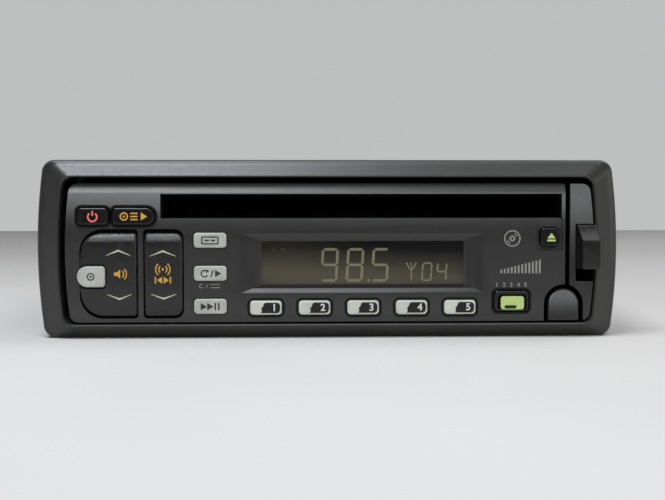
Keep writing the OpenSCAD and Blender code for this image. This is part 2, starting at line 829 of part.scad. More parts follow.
module release_lever() color(black) at_dash() {
    intersection() {
        slab(front_y - lever_proud, front_y - key_gap) lever_outline(thumb_w, thumb_ease);
        across(face_x + lever_x, face_x + lever_x + thumb_w) translate([front_y, face_z + lever_z]) polygon([
            [-key_gap, 0], [-lever_proud, 0], [-lever_proud, ridge_z],
            [lever_back - lever_proud, lever_h], [-key_gap, lever_h]
        ]);
    }
    slab(front_y - key_gap, face_y + strip_wall + seat_gap) lever_outline(lever_w, 0);
    slab(face_y + strip_wall + seat_gap, face_y + strip_wall + seat_gap + flange_t) on_face() {
        translate([strip_x + strip_wall + key_gap, lever_z]) {
            square([lever_x + lever_w - strip_x - strip_wall - key_gap, lever_h]);
        }
    }
}

// Fixed carrier behind the face
module front_carrier() color(black) at_dash() slab(carrier_y, 0) difference() {
    open_outline(carrier_gap);
    on_face() slot_outline();
    on_face() plug_outline(plug_wall + shell_gap);
}

module slot_outline() translate([slot_x, slot_z]) square([slot_w, slot_h]);

module plug_outline(grow) {
    translate(plug_at - [grow, grow]) square(plug_size + 2 * [grow, grow]);
}

module carrier_connector() color(ivory) at_dash() {
    slab(carrier_y, socket_depth) on_face() plug_outline(plug_wall);
    slab(0, flange_t) on_face() plug_outline(plug_wall + shell_flange);
}

// Detachable face
module face_outline() difference() {
    intersection() {
        bulged([0, 0], [face_w + open_bulge + face_r, face_h], open_bulge, face_r);
        square([face_w, face_h]);
    }
    tab_outline(tab_gap, cut);
}

module hollow_outline(inset) difference() {
    from = [rim_left, rim_bottom] + [inset, inset];
    wide = [face_w - rim_right, slot_z - tunnel_wall] - [inset, inset] - from;
    tall = [slot_x - tunnel_wall, side_hollow_h] - [inset, inset] - from;
    union() {
        rounded(from, wide, [hollow_r, 0, 0, 0]);
        rounded(from, tall, [hollow_r, 0, 0, hollow_r]);
    }
    tab_outline(tab_gap + rim_right + inset, cut);
}

module surround_outline(grow) {
    rounded(
        [-cut, select_at.y - surround_h / 2 - grow],
        [surround_w + grow + cut, surround_h + 2 * grow],
        [0, key_r, key_r, 0]
    );
}

module volume_outline(grow) {
    rounded(
        [volume_x, rocker_z] - grow,
        [volume_w, rocker_h] + 2 * grow,
        [volume_r, key_r, key_r, volume_r]
    );
}

module tune_outline(grow) {
    rounded([tune_x, rocker_z] - grow, [tune_w, rocker_h] + 2 * grow, [key_r, tune_r, tune_r, key_r]);
}

// Sloped frame around the display window, as a cutter
module display_cutter() intersection() {
    x0 = face_x + display_x;
    x1 = x0 + display_w;
    z0 = face_z + display_z;
    z1 = z0 + display_h;
    upright(face_z, face_z + face_h) polygon([
        [x0 - display_side, face_y - cut], [x1 + display_side, face_y - cut], [x1 + display_side, face_y],
        [x1, wall_y], [x1, wall_y + cut], [x0, wall_y + cut], [x0, wall_y], [x0 - display_side, face_y]
    ]);
    across(x0 - display_side, x1 + display_side) polygon([
        [face_y - cut, z0 - display_edge], [face_y - cut, z1 + display_edge], [face_y, z1 + display_edge],
        [wall_y, z1], [wall_y + cut, z1], [wall_y + cut, z0], [wall_y, z0], [face_y, z0 - display_edge]
    ]);
}

// Ears behind the front wall that carry the rocker pins
module rocker_ears() difference() {
    for (ear = [
        [surround_w - select_wall, select_wall],
        [volume_x + volume_w + key_gap, rocker_bar],
        [tune_x + tune_w + key_gap, ear_t]
    ]) {
        across(face_x + ear[0], face_x + ear[0] + ear[1]) {
            translate([wall_y, face_z + rocker_mid - hub_half]) {
                square([rocker_axis + ear_back, 2 * hub_half]);
            }
        }
    }
    across(face_x, face_x + tune_x + tune_w + ear_t + cut) {
        translate([rocker_y, face_z + rocker_mid]) circle(rocker_pin_r + pin_fit);
    }
}

module face_shell() color(charcoal) at_dash() {
    difference() {
        slab(face_y, shell_y) on_face() face_outline();
        across(face_x - cut, face_x + face_w + cut) polygon([
            [face_y - cut, face_z + face_h - top_slope_h],
            [face_y, face_z + face_h - top_slope_h],
            [face_y + top_slope_d, face_z + face_h],
            [face_y + top_slope_d, face_z + face_h + cut],
            [face_y - cut, face_z + face_h + cut]
        ]);
        slab(wall_y, shell_y + cut) on_face() hollow_outline(0);
        slab(face_y - cut, shell_y + cut) on_face() slot_outline();
        slab(face_y - cut, wall_y + seat_gap) on_face() {
            for (key = push_keys) key_outline(key, key_gap);
            difference() {
                volume_outline([key_gap, rocker_gap]);
                surround_outline(0);
            }
            tune_outline([key_gap, rocker_gap]);
        }
        slab(face_y - cut, face_y + select_recess) on_face() volume_outline([key_gap, rocker_gap]);
        slab(face_y - cut, face_y + eject_recess_d) on_face() {
            translate([eject[0].x - eject_recess_w / 2, eject_z - eject_recess_w / 2]) {
                square([eject_recess_w, slot_z - eject_z + eject_recess_w / 2 + seat_gap]);
            }
        }
        display_cutter();
    }
    rocker_ears();
    slab(wall_y, pcb_y) on_face() {
        for (at = boss_at) translate(at) circle(boss_r);
    }
    difference() {
        hinge_pins(0);
        slab(wall_y, shell_y) on_face() hollow_outline(0);
    }
}

module face_rear_cover() color(black) at_dash() slab(shell_y, cover_y) on_face() difference() {
    face_outline();
    translate([-cut, -cut]) square([rear_cover_set + cut, face_h + 2 * cut]);
    slot_outline();
    plug_outline(plug_gap);
}

module face_pcb() color(board_green) at_dash() {
    slab(pcb_y, pcb_y + pcb_t) on_face() hollow_outline(pcb_gap);
}

module tact_switches() color(black) at_dash() {
    for (at = concat([for (key = push_keys) key[0]], rocker_switches)) {
        slab(pcb_y - switch_h, pcb_y) on_face() translate(at) square(switch_w, center = true);
        slab(plunger_y, pcb_y - switch_h) on_face() translate(at) circle(plunger_r);
    }
}

module lens_outline() {
    translate([display_x - lens_lap, display_z - lens_lap]) {
        square([display_w + 2 * lens_lap, display_h + 2 * lens_lap]);
    }
}

module display_lens() color(smoke) at_dash() slab(wall_y, wall_y + lens_t) on_face() lens_outline();

module display_module() color(black) at_dash() slab(wall_y + lens_t, pcb_y) on_face() lens_outline();

module face_connector() color(ivory) at_dash() slab(pcb_y + pcb_t, cover_y) on_face() plug_outline(0);

// A push key: cap, flange behind the front wall, and stem towards its switch
module push_key(key) at_dash() {
    flange = [key[0], key[1] + [0, 2 * flange_lip], [0, 0, 0, 0]];
    slab(face_y - key_proud, flange_y) on_face() key_outline(key);
    slab(flange_y, stem_y) on_face() key_outline(flange);
    slab(stem_y, stem_end) on_face() translate(key[0]) circle(stem_r);
}

module power_key() color(black) push_key(power);

module mode_key() color(black) push_key(mode);

module select_key() color(light_grey) push_key(select);

module side_key(i) color(light_grey) push_key(side_keys[i]);

module preset_key(i) color(pale_green) push_key(presets[i]);

module auto_preset_key() color(lime) push_key(auto_preset);

module eject_key() color(black) push_key(eject);

// Hub, pins and stems behind a rocker's cap
module rocker_back(x0, x1, post_x) {
    across(face_x + x0, face_x + x1) {
        translate([wall_y, face_z + rocker_mid - hub_half]) square([rocker_axis + hub_back, 2 * hub_half]);
    }
    across(face_x + x0 - pin_reach - key_gap, face_x + x1 + pin_reach) {
        translate([rocker_y, face_z + rocker_mid]) circle(rocker_pin_r);
    }
    slab(wall_y, rocker_stem_end) on_face() {
        for (side = [-1, 1]) translate([post_x, rocker_mid + side * rocker_reach]) circle(stem_r);
    }
}

module volume_rocker() color(black) at_dash() {
    lip_y = face_y - key_proud + select_lip;
    slab(face_y - key_proud, lip_y) on_face() difference() {
        volume_outline([0, 0]);
        key_outline(select, select_gap);
    }
    slab(lip_y, wall_y) on_face() difference() {
        volume_outline([0, 0]);
        surround_outline(rocker_gap);
    }
    rocker_back(surround_w + rocker_gap, volume_x + volume_w, volume_post_x);
}

module tune_rocker() color(black) at_dash() {
    slab(face_y - key_proud, wall_y) on_face() tune_outline([0, 0]);
    rocker_back(tune_x, tune_x + tune_w, tune_post_x);
}

// Screws of the top cover, which also cut their holes
module screw_shanks(grow) {
    for (side = [-1, 1], i = [0 : cover_screws_n - 1]) {
        y = cover_screw_y + i * cover_screw_pitch;
        length = 2 * sheet + cover_gap + screw_grip;
        translate([side * (case_w / 2 - length), y, screw_z]) rotate([0, side * 90, 0]) {
            cylinder(r = screw_d / 2 + grow, h = length);
        }
    }
}

module cover_screws() color(steel) at_dash() {
    screw_shanks(0);
    for (side = [-1, 1], i = [0 : cover_screws_n - 1]) {
        y = cover_screw_y + i * cover_screw_pitch;
        translate([side * case_w / 2, y, screw_z]) rotate([0, side * 90, 0]) {
            cylinder(r = screw_head_d / 2, h = screw_head_t);
        }
    }
}

// Chassis
module standoff_places() {
    for (x = [-1, 1], y = [board_y[0] + standoff_in.y, board_y[1] - standoff_in.y]) {
        translate([x * (wall_x - standoff_in.x), y]) children();
    }
}

module chassis_tray() color(zinc) at_dash() difference() {
    union() {
        box([-case_w / 2, 0, case_z], [case_w / 2, case_d, floor_z]);
        box([-case_w / 2, rear_y, case_z], [case_w / 2, case_d, roof_z]);
        for (x0 = [-case_w / 2, wall_x]) box([x0, 0, case_z], [x0 + sheet, case_d, roof_z]);
        for (x0 = [-case_w / 2, case_w / 2 - lip_w]) box([x0, 0, case_z], [x0 + lip_w, sheet, roof_z]);
        upright(case_z, board_z) standoff_places() circle(standoff_r);
    }
    for (i = [0 : mount_holes_n - 1]) {
        translate([-case_w / 2 - cut, mount_y + i * mount_pitch, case_z + mount_z]) rotate([0, 90, 0]) {
            cylinder(r = mount_hole_d / 2, h = case_w + 2 * cut);
        }
    }
    screw_shanks(cover_gap);
    slab(rear_y - cut, case_d + cut) {
        connector_outline(shell_gap);
        translate(aerial_at) circle(aerial_d / 2 + shell_gap);
        jack_places() circle(jack_d / 2 + shell_gap);
        translate(fuse_at - [shell_gap, shell_gap]) square(fuse_size + 2 * [shell_gap, shell_gap]);
        translate(stud_at) circle(stud_d / 2 + stud_seat + shell_gap);
    }
}

module top_cover() color(zinc) at_dash() difference() {
    union() {
        box([-case_w / 2, 0, roof_z], [case_w / 2, case_d, roof_z + sheet]);
        for (side = [-1, 1]) {
            x = side * (wall_x - cover_gap - sheet / 2) - sheet / 2;
            box([x, flange_in, roof_z - cover_flange_h], [x + sheet, case_d - flange_in, roof_z]);
        }
    }
    screw_shanks(cover_gap);
}

module main_pcb() color(board_green) at_dash() upright(board_z, board_z + pcb_t) difference() {
    translate([board_edge - wall_x, board_y[0]]) {
        square([2 * (wall_x - board_edge), board_y[1] - board_y[0]]);
    }
    for (at = post_at) translate(at) circle(post_r + post_gap);
}

module tuner_can() color(zinc) at_dash() {
    translate([wall_x - board_edge - can_size.x, spindle_y - can_size.y / 2, board_z + pcb_t]) {
        cube(can_size);
    }
}

module capacitors() color(black) at_dash() {
    for (i = [-1 : 1]) {
        translate([board_edge + 2 * cap_r - wall_x, spindle_y + i * cap_pitch, board_z + pcb_t]) {
            cylinder(r = cap_r, h = cap_h);
        }
    }
}

module power_amp() color(black) at_dash() {
    translate([-sink_x - amp_size.x / 2, rear_y - amp_size.y, board_z]) cube(amp_size);
}

module heat_sink() color(alloy) at_dash() {
    pitch = (sink_w - fin_t) / (fin_count - 1);
    translate([-sink_x - sink_w / 2, case_d, case_z + case_h / 2 - sink_h / 2]) {
        cube([sink_w, sink_base, sink_h]);
        for (i = [0 : fin_count - 1]) translate([i * pitch, 0, 0]) cube([fin_t, sink_base + fin_d, sink_h]);
    }
}

// Rear sockets
module connector_outline(grow) {
    translate([connector_x - grow, connector_z - grow]) {
        square([connector_w + 2 * grow, connector_h + 2 * grow]);
    }
}

module rear_connector() color(black) at_dash() {
    out_y = case_d + connector_out;
    difference() {
        union() {
            slab(case_d - connector_in, out_y) connector_outline(0);
            slab(rear_y - shell_flange, rear_y) connector_outline(shell_flange);
        }
        slab(out_y - socket_d, out_y + cut) {
            for (i = [0 : 1]) {
                x = connector_x + socket_wall + i * (socket_w + socket_wall);
                translate([x, connector_z + socket_wall]) square([socket_w, socket_h]);
            }
        }
    }
    slab(out_y - socket_d, out_y - socket_d + socket_pin_l) {
        for (i = [0 : 1], x = [-1.5 : 1.5], z = [-0.5 : 0.5]) {
            mid_x = connector_x + socket_wall + socket_w / 2 + i * (socket_w + socket_wall);
            mid_z = connector_z + connector_h / 2;
            translate([mid_x + x * contact_pitch.x, mid_z + z * contact_pitch.y]) circle(contact_r);
        }
    }
}

module antenna_socket() color(steel) at_dash() difference() {
    union() {
        slab(case_d - connector_in, case_d + connector_out) translate(aerial_at) circle(aerial_d / 2);
        slab(rear_y - shell_flange, rear_y) translate(aerial_at) circle(aerial_d / 2 + shell_flange);
    }
    slab(case_d + connector_out - aerial_depth, case_d + connector_out + cut) {
        translate(aerial_at) circle(aerial_bore / 2);
    }
}

module jack_places() {
    for (i = [0 : 1]) translate(jack_at - [0, i * jack_pitch]) children();
}

module line_out_jacks() color(brass) at_dash() difference() {
    union() {
        slab(rear_y - shell_flange, rear_y) {
            translate(jack_at - [jack_block.x / 2, jack_pitch / 2 + jack_block.y / 2]) square(jack_block);
        }
        slab(rear_y, case_d + connector_out) jack_places() circle(jack_d / 2);
    }
    slab(case_d + connector_out - jack_hole_d, case_d + connector_out + cut) {
        jack_places() circle(jack_hole_r);
    }
}

module fuse() color("firebrick") at_dash() {
    slab(rear_y, case_d + connector_out) translate(fuse_at) square(fuse_size);
    slab(rear_y - shell_flange, rear_y) {
        lip = [shell_flange, shell_flange];
        translate(fuse_at - lip) square(fuse_size + 2 * lip);
    }
}

module rear_stud() color(steel) at_dash() {
    slab(case_d, case_d + stud_l) translate(stud_at) circle(stud_d / 2);
    slab(rear_y, case_d) translate(stud_at) circle(stud_d / 2 + stud_seat);
    slab(rear_y - 2 * shell_flange, rear_y) translate(stud_at) circle(stud_d);
}

// Disc drive
module mech_posts() color(zinc) at_dash() {
    for (at = post_at) translate([at.x, at.y, floor_z]) {
        cylinder(r = post_r, h = base_z - drive_t - damper_h - floor_z);
    }
}

module mech_dampers() color(rubber_black) at_dash() {
    for (at = post_at) translate([at.x, at.y, base_z - drive_t - damper_h]) {
        cylinder(r = damper_r, h = damper_h);
    }
}

module mech_frame() color(zinc) at_dash() difference() {
    x0 = drive_x - drive_half;
    x1 = drive_x + drive_half;
    union() {
        box([x0, drive_y0, base_z - drive_t], [x1, drive_y1, base_z]);
        box([x0, drive_y1 - drive_t, base_z], [x1, drive_y1, guide_z]);
        for (x = [x0, x1 - drive_t]) box([x, drive_y0, base_z], [x + drive_t, drive_y1, guide_z]);
        for (y = [spindle_y - rod_reach, spindle_y + rod_reach, screw_y]) {
            box(
                [drive_x - rod_end - block_t, y - block_half, base_z],
                [drive_x - rod_end, y + block_half, rod_z + block_half]
            );
        }
    }
    for (y = [spindle_y - rod_reach, spindle_y + rod_reach]) {
        across(drive_x - drive_in, drive_x) translate([y, rod_z]) circle(rod_r + pin_fit);
    }
    across(x0 - cut, drive_x) translate([screw_y, rod_z]) circle(rod_r + pin_fit);
    across(x0 - cut, x1 + cut) translate([pivot_y, pivot_z]) circle(rod_r + pin_fit);
}

module mech_top_plate() color(zinc) at_dash() {
    upright(guide_z, guide_z + drive_t) difference() {
        translate([drive_x - drive_half, drive_y0]) square([2 * drive_half, drive_y1 - drive_y0]);
        translate([drive_x, spindle_y]) circle(puck_r + puck_room);
        translate([drive_x - clamp_half - clamp_gap, spindle_y]) {
            square([2 * (clamp_half + clamp_gap), clamp_l + clamp_barrel_r + clamp_gap]);
        }
        translate([drive_x - clamp_half - clamp_gap, spindle_y - clamp_nose - clamp_gap]) {
            square([2 * (clamp_half + clamp_gap), clamp_nose + clamp_gap]);
        }
    }
    difference() {
        for (x = [-clamp_half - clamp_gap - clamp_ear_t, clamp_half + clamp_gap]) {
            across(drive_x + x, drive_x + x + clamp_ear_t) {
                translate([clamp_y, clamp_pivot_z]) circle(clamp_ear_r);
                translate([clamp_y - clamp_ear_r, guide_z]) {
                    square([2 * clamp_ear_r, clamp_pivot_z - guide_z]);
                }
            }
        }
        clamp_pin(pin_fit, clamp_ear_t);
    }
}

module clamp_pin(grow, reach) {
    half = clamp_half + clamp_gap + reach;
    across(drive_x - half, drive_x + half) translate([clamp_y, clamp_pivot_z]) circle(clamp_pin_r + grow);
}

module clamp_arm() color(zinc) at_dash() {
    upright(clamp_z, clamp_z + drive_t) difference() {
        translate([drive_x - clamp_half, spindle_y - clamp_nose]) {
            square([2 * clamp_half, clamp_l + clamp_nose]);
        }
        translate([drive_x, spindle_y]) circle(puck_hub_r + puck_gap);
    }
    across(drive_x - clamp_half, drive_x + clamp_half) {
        translate([clamp_y, clamp_pivot_z]) circle(clamp_barrel_r);
    }
    clamp_pin(0, clamp_ear_t - clamp_gap);
}

module clamper_puck() color(black) at_dash() translate([drive_x, spindle_y, 0]) {
    cap_z = clamp_z + drive_t + puck_gap;
    upright(puck_z, puck_z + puck_t) circle(puck_r);
    upright(puck_z, cap_z + puck_cap_t) circle(puck_hub_r);
    upright(cap_z, cap_z + puck_cap_t) circle(puck_cap_r);
}

module spindle_motor() color(steel) at_dash() translate([drive_x, spindle_y, base_z]) {
    cylinder(r = spindle_motor_r, h = spindle_motor_h);
    cylinder(r = shaft_r, h = table_z - base_z);
}

module turntable() color(black) at_dash() translate([drive_x, spindle_y, 0]) difference() {
    union() {
        translate([0, 0, table_z - table_t]) cylinder(r = table_r, h = table_t);
        translate([0, 0, table_z]) cylinder(r1 = cone_r, r2 = cone_top_r, h = cone_h);
    }
    translate([0, 0, table_z - table_t - cut]) cylinder(r = shaft_r + pin_fit, h = table_t + cut + pin_fit);
}

module guide_rods() color(steel) at_dash() {
    for (y = [spindle_y - rod_reach, spindle_y + rod_reach]) {
        across(drive_x - drive_in, drive_x - rod_end) translate([y, rod_z]) circle(rod_r);
    }
}

module pickup_sled() color(black) at_dash() {
    x0 = drive_x - lens_in - sled_ahead;
    x1 = drive_x - lens_in + sled_back;
    difference() {
        box(
            [x0, spindle_y - rod_reach - sled_edge, rod_z - sled_below],
            [x1, screw_y + sled_edge, rod_z + sled_above]
        );
        for (y = [spindle_y - rod_reach, spindle_y + rod_reach]) {
            across(x0 - cut, x1 + cut) translate([y, rod_z]) circle(rod_r + pin_fit);
        }
        across(x0 - cut, x1 + cut) translate([screw_y, rod_z]) circle(rod_r + sled_screw_gap);
    }
    translate([drive_x - lens_in, spindle_y, rod_z]) cylinder(r = lens_r, h = lens_top - rod_z);
}

module lead_screw() color(steel) at_dash() {
    across(drive_x - drive_half, drive_x - gear_x + gear_t) translate([screw_y, rod_z]) circle(rod_r);
    across(drive_x - gear_x, drive_x - gear_x + gear_t) {
        translate([screw_y, rod_z]) gear_outline(screw_teeth, 0);
    }
}

module sled_pinion() color(ivory) at_dash() across(drive_x - gear_x, drive_x - gear_x + gear_t) {
    translate([pinion_y, rod_z]) difference() {
        gear_outline(pinion_teeth, 180 + 180 / pinion_teeth);
        circle(motor_shaft_r + pin_fit);
    }
}

// A can motor on a saddle, with its shaft towards the left
module can_motor(x, y, z, r, length, shaft, reach) {
    across(x, x + length) {
        translate([y, z]) circle(r);
        translate([y - saddle_half, base_z]) square([2 * saddle_half, z - base_z]);
    }
    across(x - reach, x) translate([y, z]) circle(shaft);
}

module sled_motor() color(steel) at_dash() {
    x = drive_x - gear_x + gear_t + motor_gap;
    can_motor(x, pinion_y, rod_z, sled_motor_r, sled_motor_l, motor_shaft_r, gear_t + motor_gap);
}

module load_motor() color(steel) at_dash() {
    x = drive_x - pulley_x + pulley_w + motor_gap;
    can_motor(x, pivot_y, pivot_z, load_motor_r, load_motor_l, shaft_r, pulley_w + motor_gap);
}

module drive_pulley() color(ivory) at_dash() across(drive_x - pulley_x, drive_x - pulley_x + pulley_w) {
    translate([pivot_y, pivot_z]) difference() {
        circle(pulley_r);
        circle(shaft_r + pin_fit);
    }
}

module drive_belt() color(rubber_black) at_dash() {
    across(drive_x - pulley_x, drive_x - pulley_x + pulley_w) difference() {
        capsule([roller_y, roller_z], [pivot_y, pivot_z], pulley_r + belt_gap + belt_t);
        capsule([roller_y, roller_z], [pivot_y, pivot_z], pulley_r + belt_gap);
    }
}

module roller_arm() color(zinc) at_dash() {
    difference() {
        for (x = [-arm_x, arm_x - drive_t]) across(drive_x + x, drive_x + x + drive_t) {
            capsule([roller_y, roller_z], [pivot_y, pivot_z], arm_r);
            translate([arm_bar[0], arm_bar[1]]) square([arm_bar[2], roller_z - arm_bar[1]]);
        }
        across(drive_x - drive_half, drive_x + drive_half) {
            translate([roller_y, roller_z]) circle(rod_r + pin_fit);
        }
    }
    across(drive_x - arm_x, drive_x + arm_x) {
        translate([arm_bar[0], arm_bar[1]]) square([arm_bar[2], arm_bar[3]]);
    }
    for (x = [-arm_x - arm_pin, arm_x]) across(drive_x + x, drive_x + x + arm_pin) {
        translate([pivot_y, pivot_z]) circle(rod_r);
    }
}

module feed_roller() color(rubber_black) at_dash() {
    across(drive_x - arm_x, drive_x + arm_x) translate([roller_y, roller_z]) circle(rod_r);
    across(drive_x - roller_half, drive_x + roller_half) translate([roller_y, roller_z]) circle(roller_r);
    across(drive_x - pulley_x, drive_x - pulley_x + pulley_w) {
        translate([roller_y, roller_z]) circle(pulley_r);
    }
}

chassis_tray();
top_cover();
cover_screws();
front_carrier();
bezel();
side_strip();
corner_tab();
release_lever();
face_shell();
face_rear_cover();
face_pcb();
tact_switches();
display_lens();
display_module();
face_connector();
carrier_connector();
power_key();
mode_key();
volume_rocker();
select_key();
tune_rocker();
side_key(0);  // scan_key
side_key(1);  // repeat_key
side_key(2);  // display_key
preset_key(0);  // preset_1_key
preset_key(1);  // preset_2_key
preset_key(2);  // preset_3_key
preset_key(3);  // preset_4_key
preset_key(4);  // preset_5_key
auto_preset_key();
eject_key();
main_pcb();
tuner_can();
capacitors();
power_amp();
heat_sink();
rear_connector();
antenna_socket();
line_out_jacks();
fuse();
rear_stud();
mech_posts();
mech_dampers();
mech_frame();
mech_top_plate();
spindle_motor();
turntable();
pickup_sled();
guide_rods();
lead_screw();
sled_motor();
sled_pinion();
roller_arm();
feed_roller();
drive_belt();
drive_pulley();
load_motor();
clamp_arm();
clamper_puck();
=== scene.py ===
"""Looks of the car CD player: housings, keys, signs, display, plated chassis and stage."""

import json
from math import cos, pi, radians, sin, tan

import bpy
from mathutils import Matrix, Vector


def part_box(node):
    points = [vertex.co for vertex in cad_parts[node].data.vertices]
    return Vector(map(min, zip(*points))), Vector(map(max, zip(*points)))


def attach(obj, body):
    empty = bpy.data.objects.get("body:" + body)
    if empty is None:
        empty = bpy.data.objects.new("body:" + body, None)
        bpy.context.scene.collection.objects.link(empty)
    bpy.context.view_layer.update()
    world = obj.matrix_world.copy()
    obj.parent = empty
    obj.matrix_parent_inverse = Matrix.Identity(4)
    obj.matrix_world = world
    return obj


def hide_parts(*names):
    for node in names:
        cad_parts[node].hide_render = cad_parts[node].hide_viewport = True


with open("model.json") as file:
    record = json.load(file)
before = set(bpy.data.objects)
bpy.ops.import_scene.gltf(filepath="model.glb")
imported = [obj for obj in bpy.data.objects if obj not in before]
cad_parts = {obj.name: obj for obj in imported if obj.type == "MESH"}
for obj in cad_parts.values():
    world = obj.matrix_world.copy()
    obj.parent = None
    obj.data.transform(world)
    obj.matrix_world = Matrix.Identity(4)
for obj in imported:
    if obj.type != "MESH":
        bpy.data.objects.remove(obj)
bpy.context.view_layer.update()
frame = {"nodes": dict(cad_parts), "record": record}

bl_info = {
    "name": "Car CD player",
    "version": (1, 0, 0),
    "blender": (4, 5, 0),
    "location": "View3D > Sidebar > CD player",
    "description": "Dresses the packed car CD player with its finishes, signs and stage",
    "category": "Object",
}

MM = 0.001
BODY_OF = {
    node: body
    for body, nodes in frame["record"]["behaviour"]["bodies"].items()
    for node in nodes
}
BLACK_KEYS = ("power_key", "mode_key", "eject_key", "auto_preset_key")
SIDE_KEYS = ("display_key", "repeat_key", "scan_key")
PRESETS = tuple(f"preset_{number}_key" for number in range(1, 6))
ROCKERS = ("volume_rocker", "tune_rocker")

# Meshes. Lengths here and in the signs are in millimetres.
MERGE = 0.001
FLAT_ANGLE = radians(0.5)
SHARP_ANGLE = radians(28)
SMOOTH_ANGLE = radians(38)
FRONT_STEPS = 4
SLOPE_STEPS = 4
TURN_STEPS = 5
CAGE_ROWS = 25
INK = 0.06
TEXT_SIZE = 1.4
TEXT_WEIGHT = 0.03
LIP_TURN = (0.3, 0.25)
RUBBED_POINTS = (0.52, 0.6)

# Fits between pieces. The last two are shares: the clamp arm's pins in their barrel, and their size.
FLANGE_LIP = 0.6
LENS_LAP = 1.0
CARRIER_GAP = 0.15
KEY_ROOM = 1.0
PANEL_SET = 0.2
DIGIT_BASE = 2.1
BARREL_R = 1.8
PIN_REACH = 0.75
PIN_SHARE = 0.97

# Fronts that round back: where that begins or ends, and how far each goes.
LEAN_START = 6.0
STRIP_LEAN = 9.5
TAB_LEAN = 4.4
FACE_TURN = 20.0
FACE_BROW = 3.0
FACE_LEAN = 4.4
CHIN = 8.5
CHIN_LEAN = 0.9
ROCKER_DEEP = 4.0
ROCKER_TOP = 4.8
ROCKER_TOP_LEAN = 2.5
ROCKER_FOOT = 10.0
ROCKER_FOOT_LEAN = 1.0
LEVER_DEEP = 2.5
LEVER_FOOT = 5.0
LEVER_LEAN = 1.2

# Painted shade on faces: depths, widths, and how squarely a face looks along an axis.
SHADE_DEPTH = 2.6
RIM = 0.68
RIM_DEEP = 2.7
ROCKER_RIM = 0.15
FRONT_DEEP = 1.0
FRONT_FACING = 0.98
SHADOW_DROP = 1.2
SLOPE_SIDE = 8
SLOPE_HIGH = 3
SLOPE_DEEP = 2.2
SLOPE_FACING = 0.3
LEVER_FACING = 0.7
SLOT_SHADE = 45.0
SLOT_FACING = 0.5

# Camera and stage. The floor is in metres.
SENSOR = 36.0
VIEW_WIDTH = 215.5
CAMERA_AIM = (1.0, -0.25)
CAMERA_TURN = radians(2.3)
FLOOR_SIZE = (4.0, 1.25)
FLOOR_BACK = 0.225
AMBIENT = 0.16


def length(name, description, value, least=0.0):
    """A length setting, given in millimetres."""
    return bpy.props.FloatProperty(
        name=name, description=description, default=value * MM, min=least * MM, unit="LENGTH", precision=5)


class PlayerSizes(bpy.types.PropertyGroup):
    """Sizes of the finish: edges, marks and the camera."""

    trim_edge: length("Trim edge", "Rounding along the outer edge of the bezel", 0.9)
    trim_lip: length("Trim lip", "Flat lip of the bezel around its opening", 0.6)
    trim_fall: length("Trim fall", "How far the bezel's borders fall back at the outer edge", 4.5)
    trim_bulge: length("Trim bulge", "How far the bezel's sides bulge at mid-height", 2.2)
    trim_corner: length("Trim corner", "Outer corner radius of the bezel", 4.2)
    open_bulge: length("Opening bulge", "How far the sides of the bezel's opening bulge at mid-height", 1.6)
    open_corner: length("Opening corner", "Corner radius of the bezel's opening", 3.5)
    face_edge: length("Face edge", "Rounding along the edges of the face and the strip", 0.3)
    key_edge: length("Key edge", "Rounding around the front of each push key", 0.55)
    rocker_edge: length("Rocker edge", "Rounding around the front of the rockers", 1.1)
    sheet_edge: length("Sheet edge", "Rounding along the edges of sheet metal and inner pieces", 0.15)
    digit_h: length("Digit height", "Height of the large digits in the display", 10.2)
    camera_distance: length("Camera distance", "Distance of the camera from the player's front", 420, 100)
    camera_rise: bpy.props.FloatProperty(
        name="Camera rise", description="Angle of the camera above the middle of the front",
        default=radians(3.0), subtype="ANGLE")


def tint(name, description, red, green, blue):
    """A colour setting, given as the 0 to 255 values of a colour picker."""
    value = [linear(part / 255) for part in (red, green, blue)]
    return bpy.props.FloatVectorProperty(
        name=name, description=description, subtype="COLOR", size=3, min=0.0, max=1.0, default=value)


def linear(part):
    """The scene-linear value of one part of a picked colour."""
    return part / 12.92 if part <= 0.04045 else ((part + 0.055) / 1.055) ** 2.4


class PlayerColours(bpy.types.PropertyGroup):
    """Colours of the finishes."""

    charcoal: tint("Charcoal", "Moulded plastic of the bezel and the face", 36, 36, 34)
    gloss_black: tint("Gloss black", "Keys and sockets of black plastic", 13, 13, 13)
    # Painted shade: nearly black, for the inside of the slot and the gaps.
    slot_black: tint("Slot black", "Inside of the disc slot and the gaps", 4, 4, 4)
    warm_grey: tint("Warm grey", "Light grey keys", 186, 187, 181)
    pale_key: tint("Pale key", "Preset keys", 204, 208, 196)
    lime: tint("Lime", "Lit window and eject sign", 182, 202, 128)
    amber: tint("Amber", "Signs on the mode key and the rockers", 208, 158, 70)
    rose: tint("Rose", "Lit sign on the power key", 236, 108, 104)
    cream: tint("Cream", "Arrows on the rockers", 214, 212, 184)
    print_grey: tint("Print grey", "Signs printed on the face", 150, 150, 146)
    segment: tint("Segment", "Digits in the display", 176, 176, 140)
    # Painted light: the display panel glows, lighter at the bottom left and shaded at the top right.
    panel_low: tint("Panel low", "Lower part of the display panel", 124, 117, 98)
    panel_high: tint("Panel high", "Upper part of the display panel", 20, 21, 23)
    zinc: tint("Zinc", "Plated sheet of the chassis", 178, 181, 184)
    steel: tint("Steel", "Rods, screws and motor cans", 196, 198, 202)
    alloy: tint("Alloy", "Heat sink", 190, 192, 194)
    board: tint("Board", "Solder resist of the circuit boards", 30, 84, 48)
    ivory: tint("Ivory", "White moulded plastic inside", 220, 215, 200)
    brass: tint("Brass", "Plated contacts", 204, 172, 96)
    fuse_red: tint("Fuse red", "Body of the blade fuse", 176, 36, 30)
    floor: tint("Floor", "Cloth under the player", 218, 216, 214)
    backdrop: tint("Backdrop", "Wall behind the player", 190, 191, 191)


def sizes():
    """The size settings of the scene."""
    return bpy.context.scene.player_sizes


def colours():
    """The colour settings of the scene."""
    return bpy.context.scene.player_colours


def between(share, first, last):
    """The value at a share of the way from one value to another."""
    return first + share * (last - first)


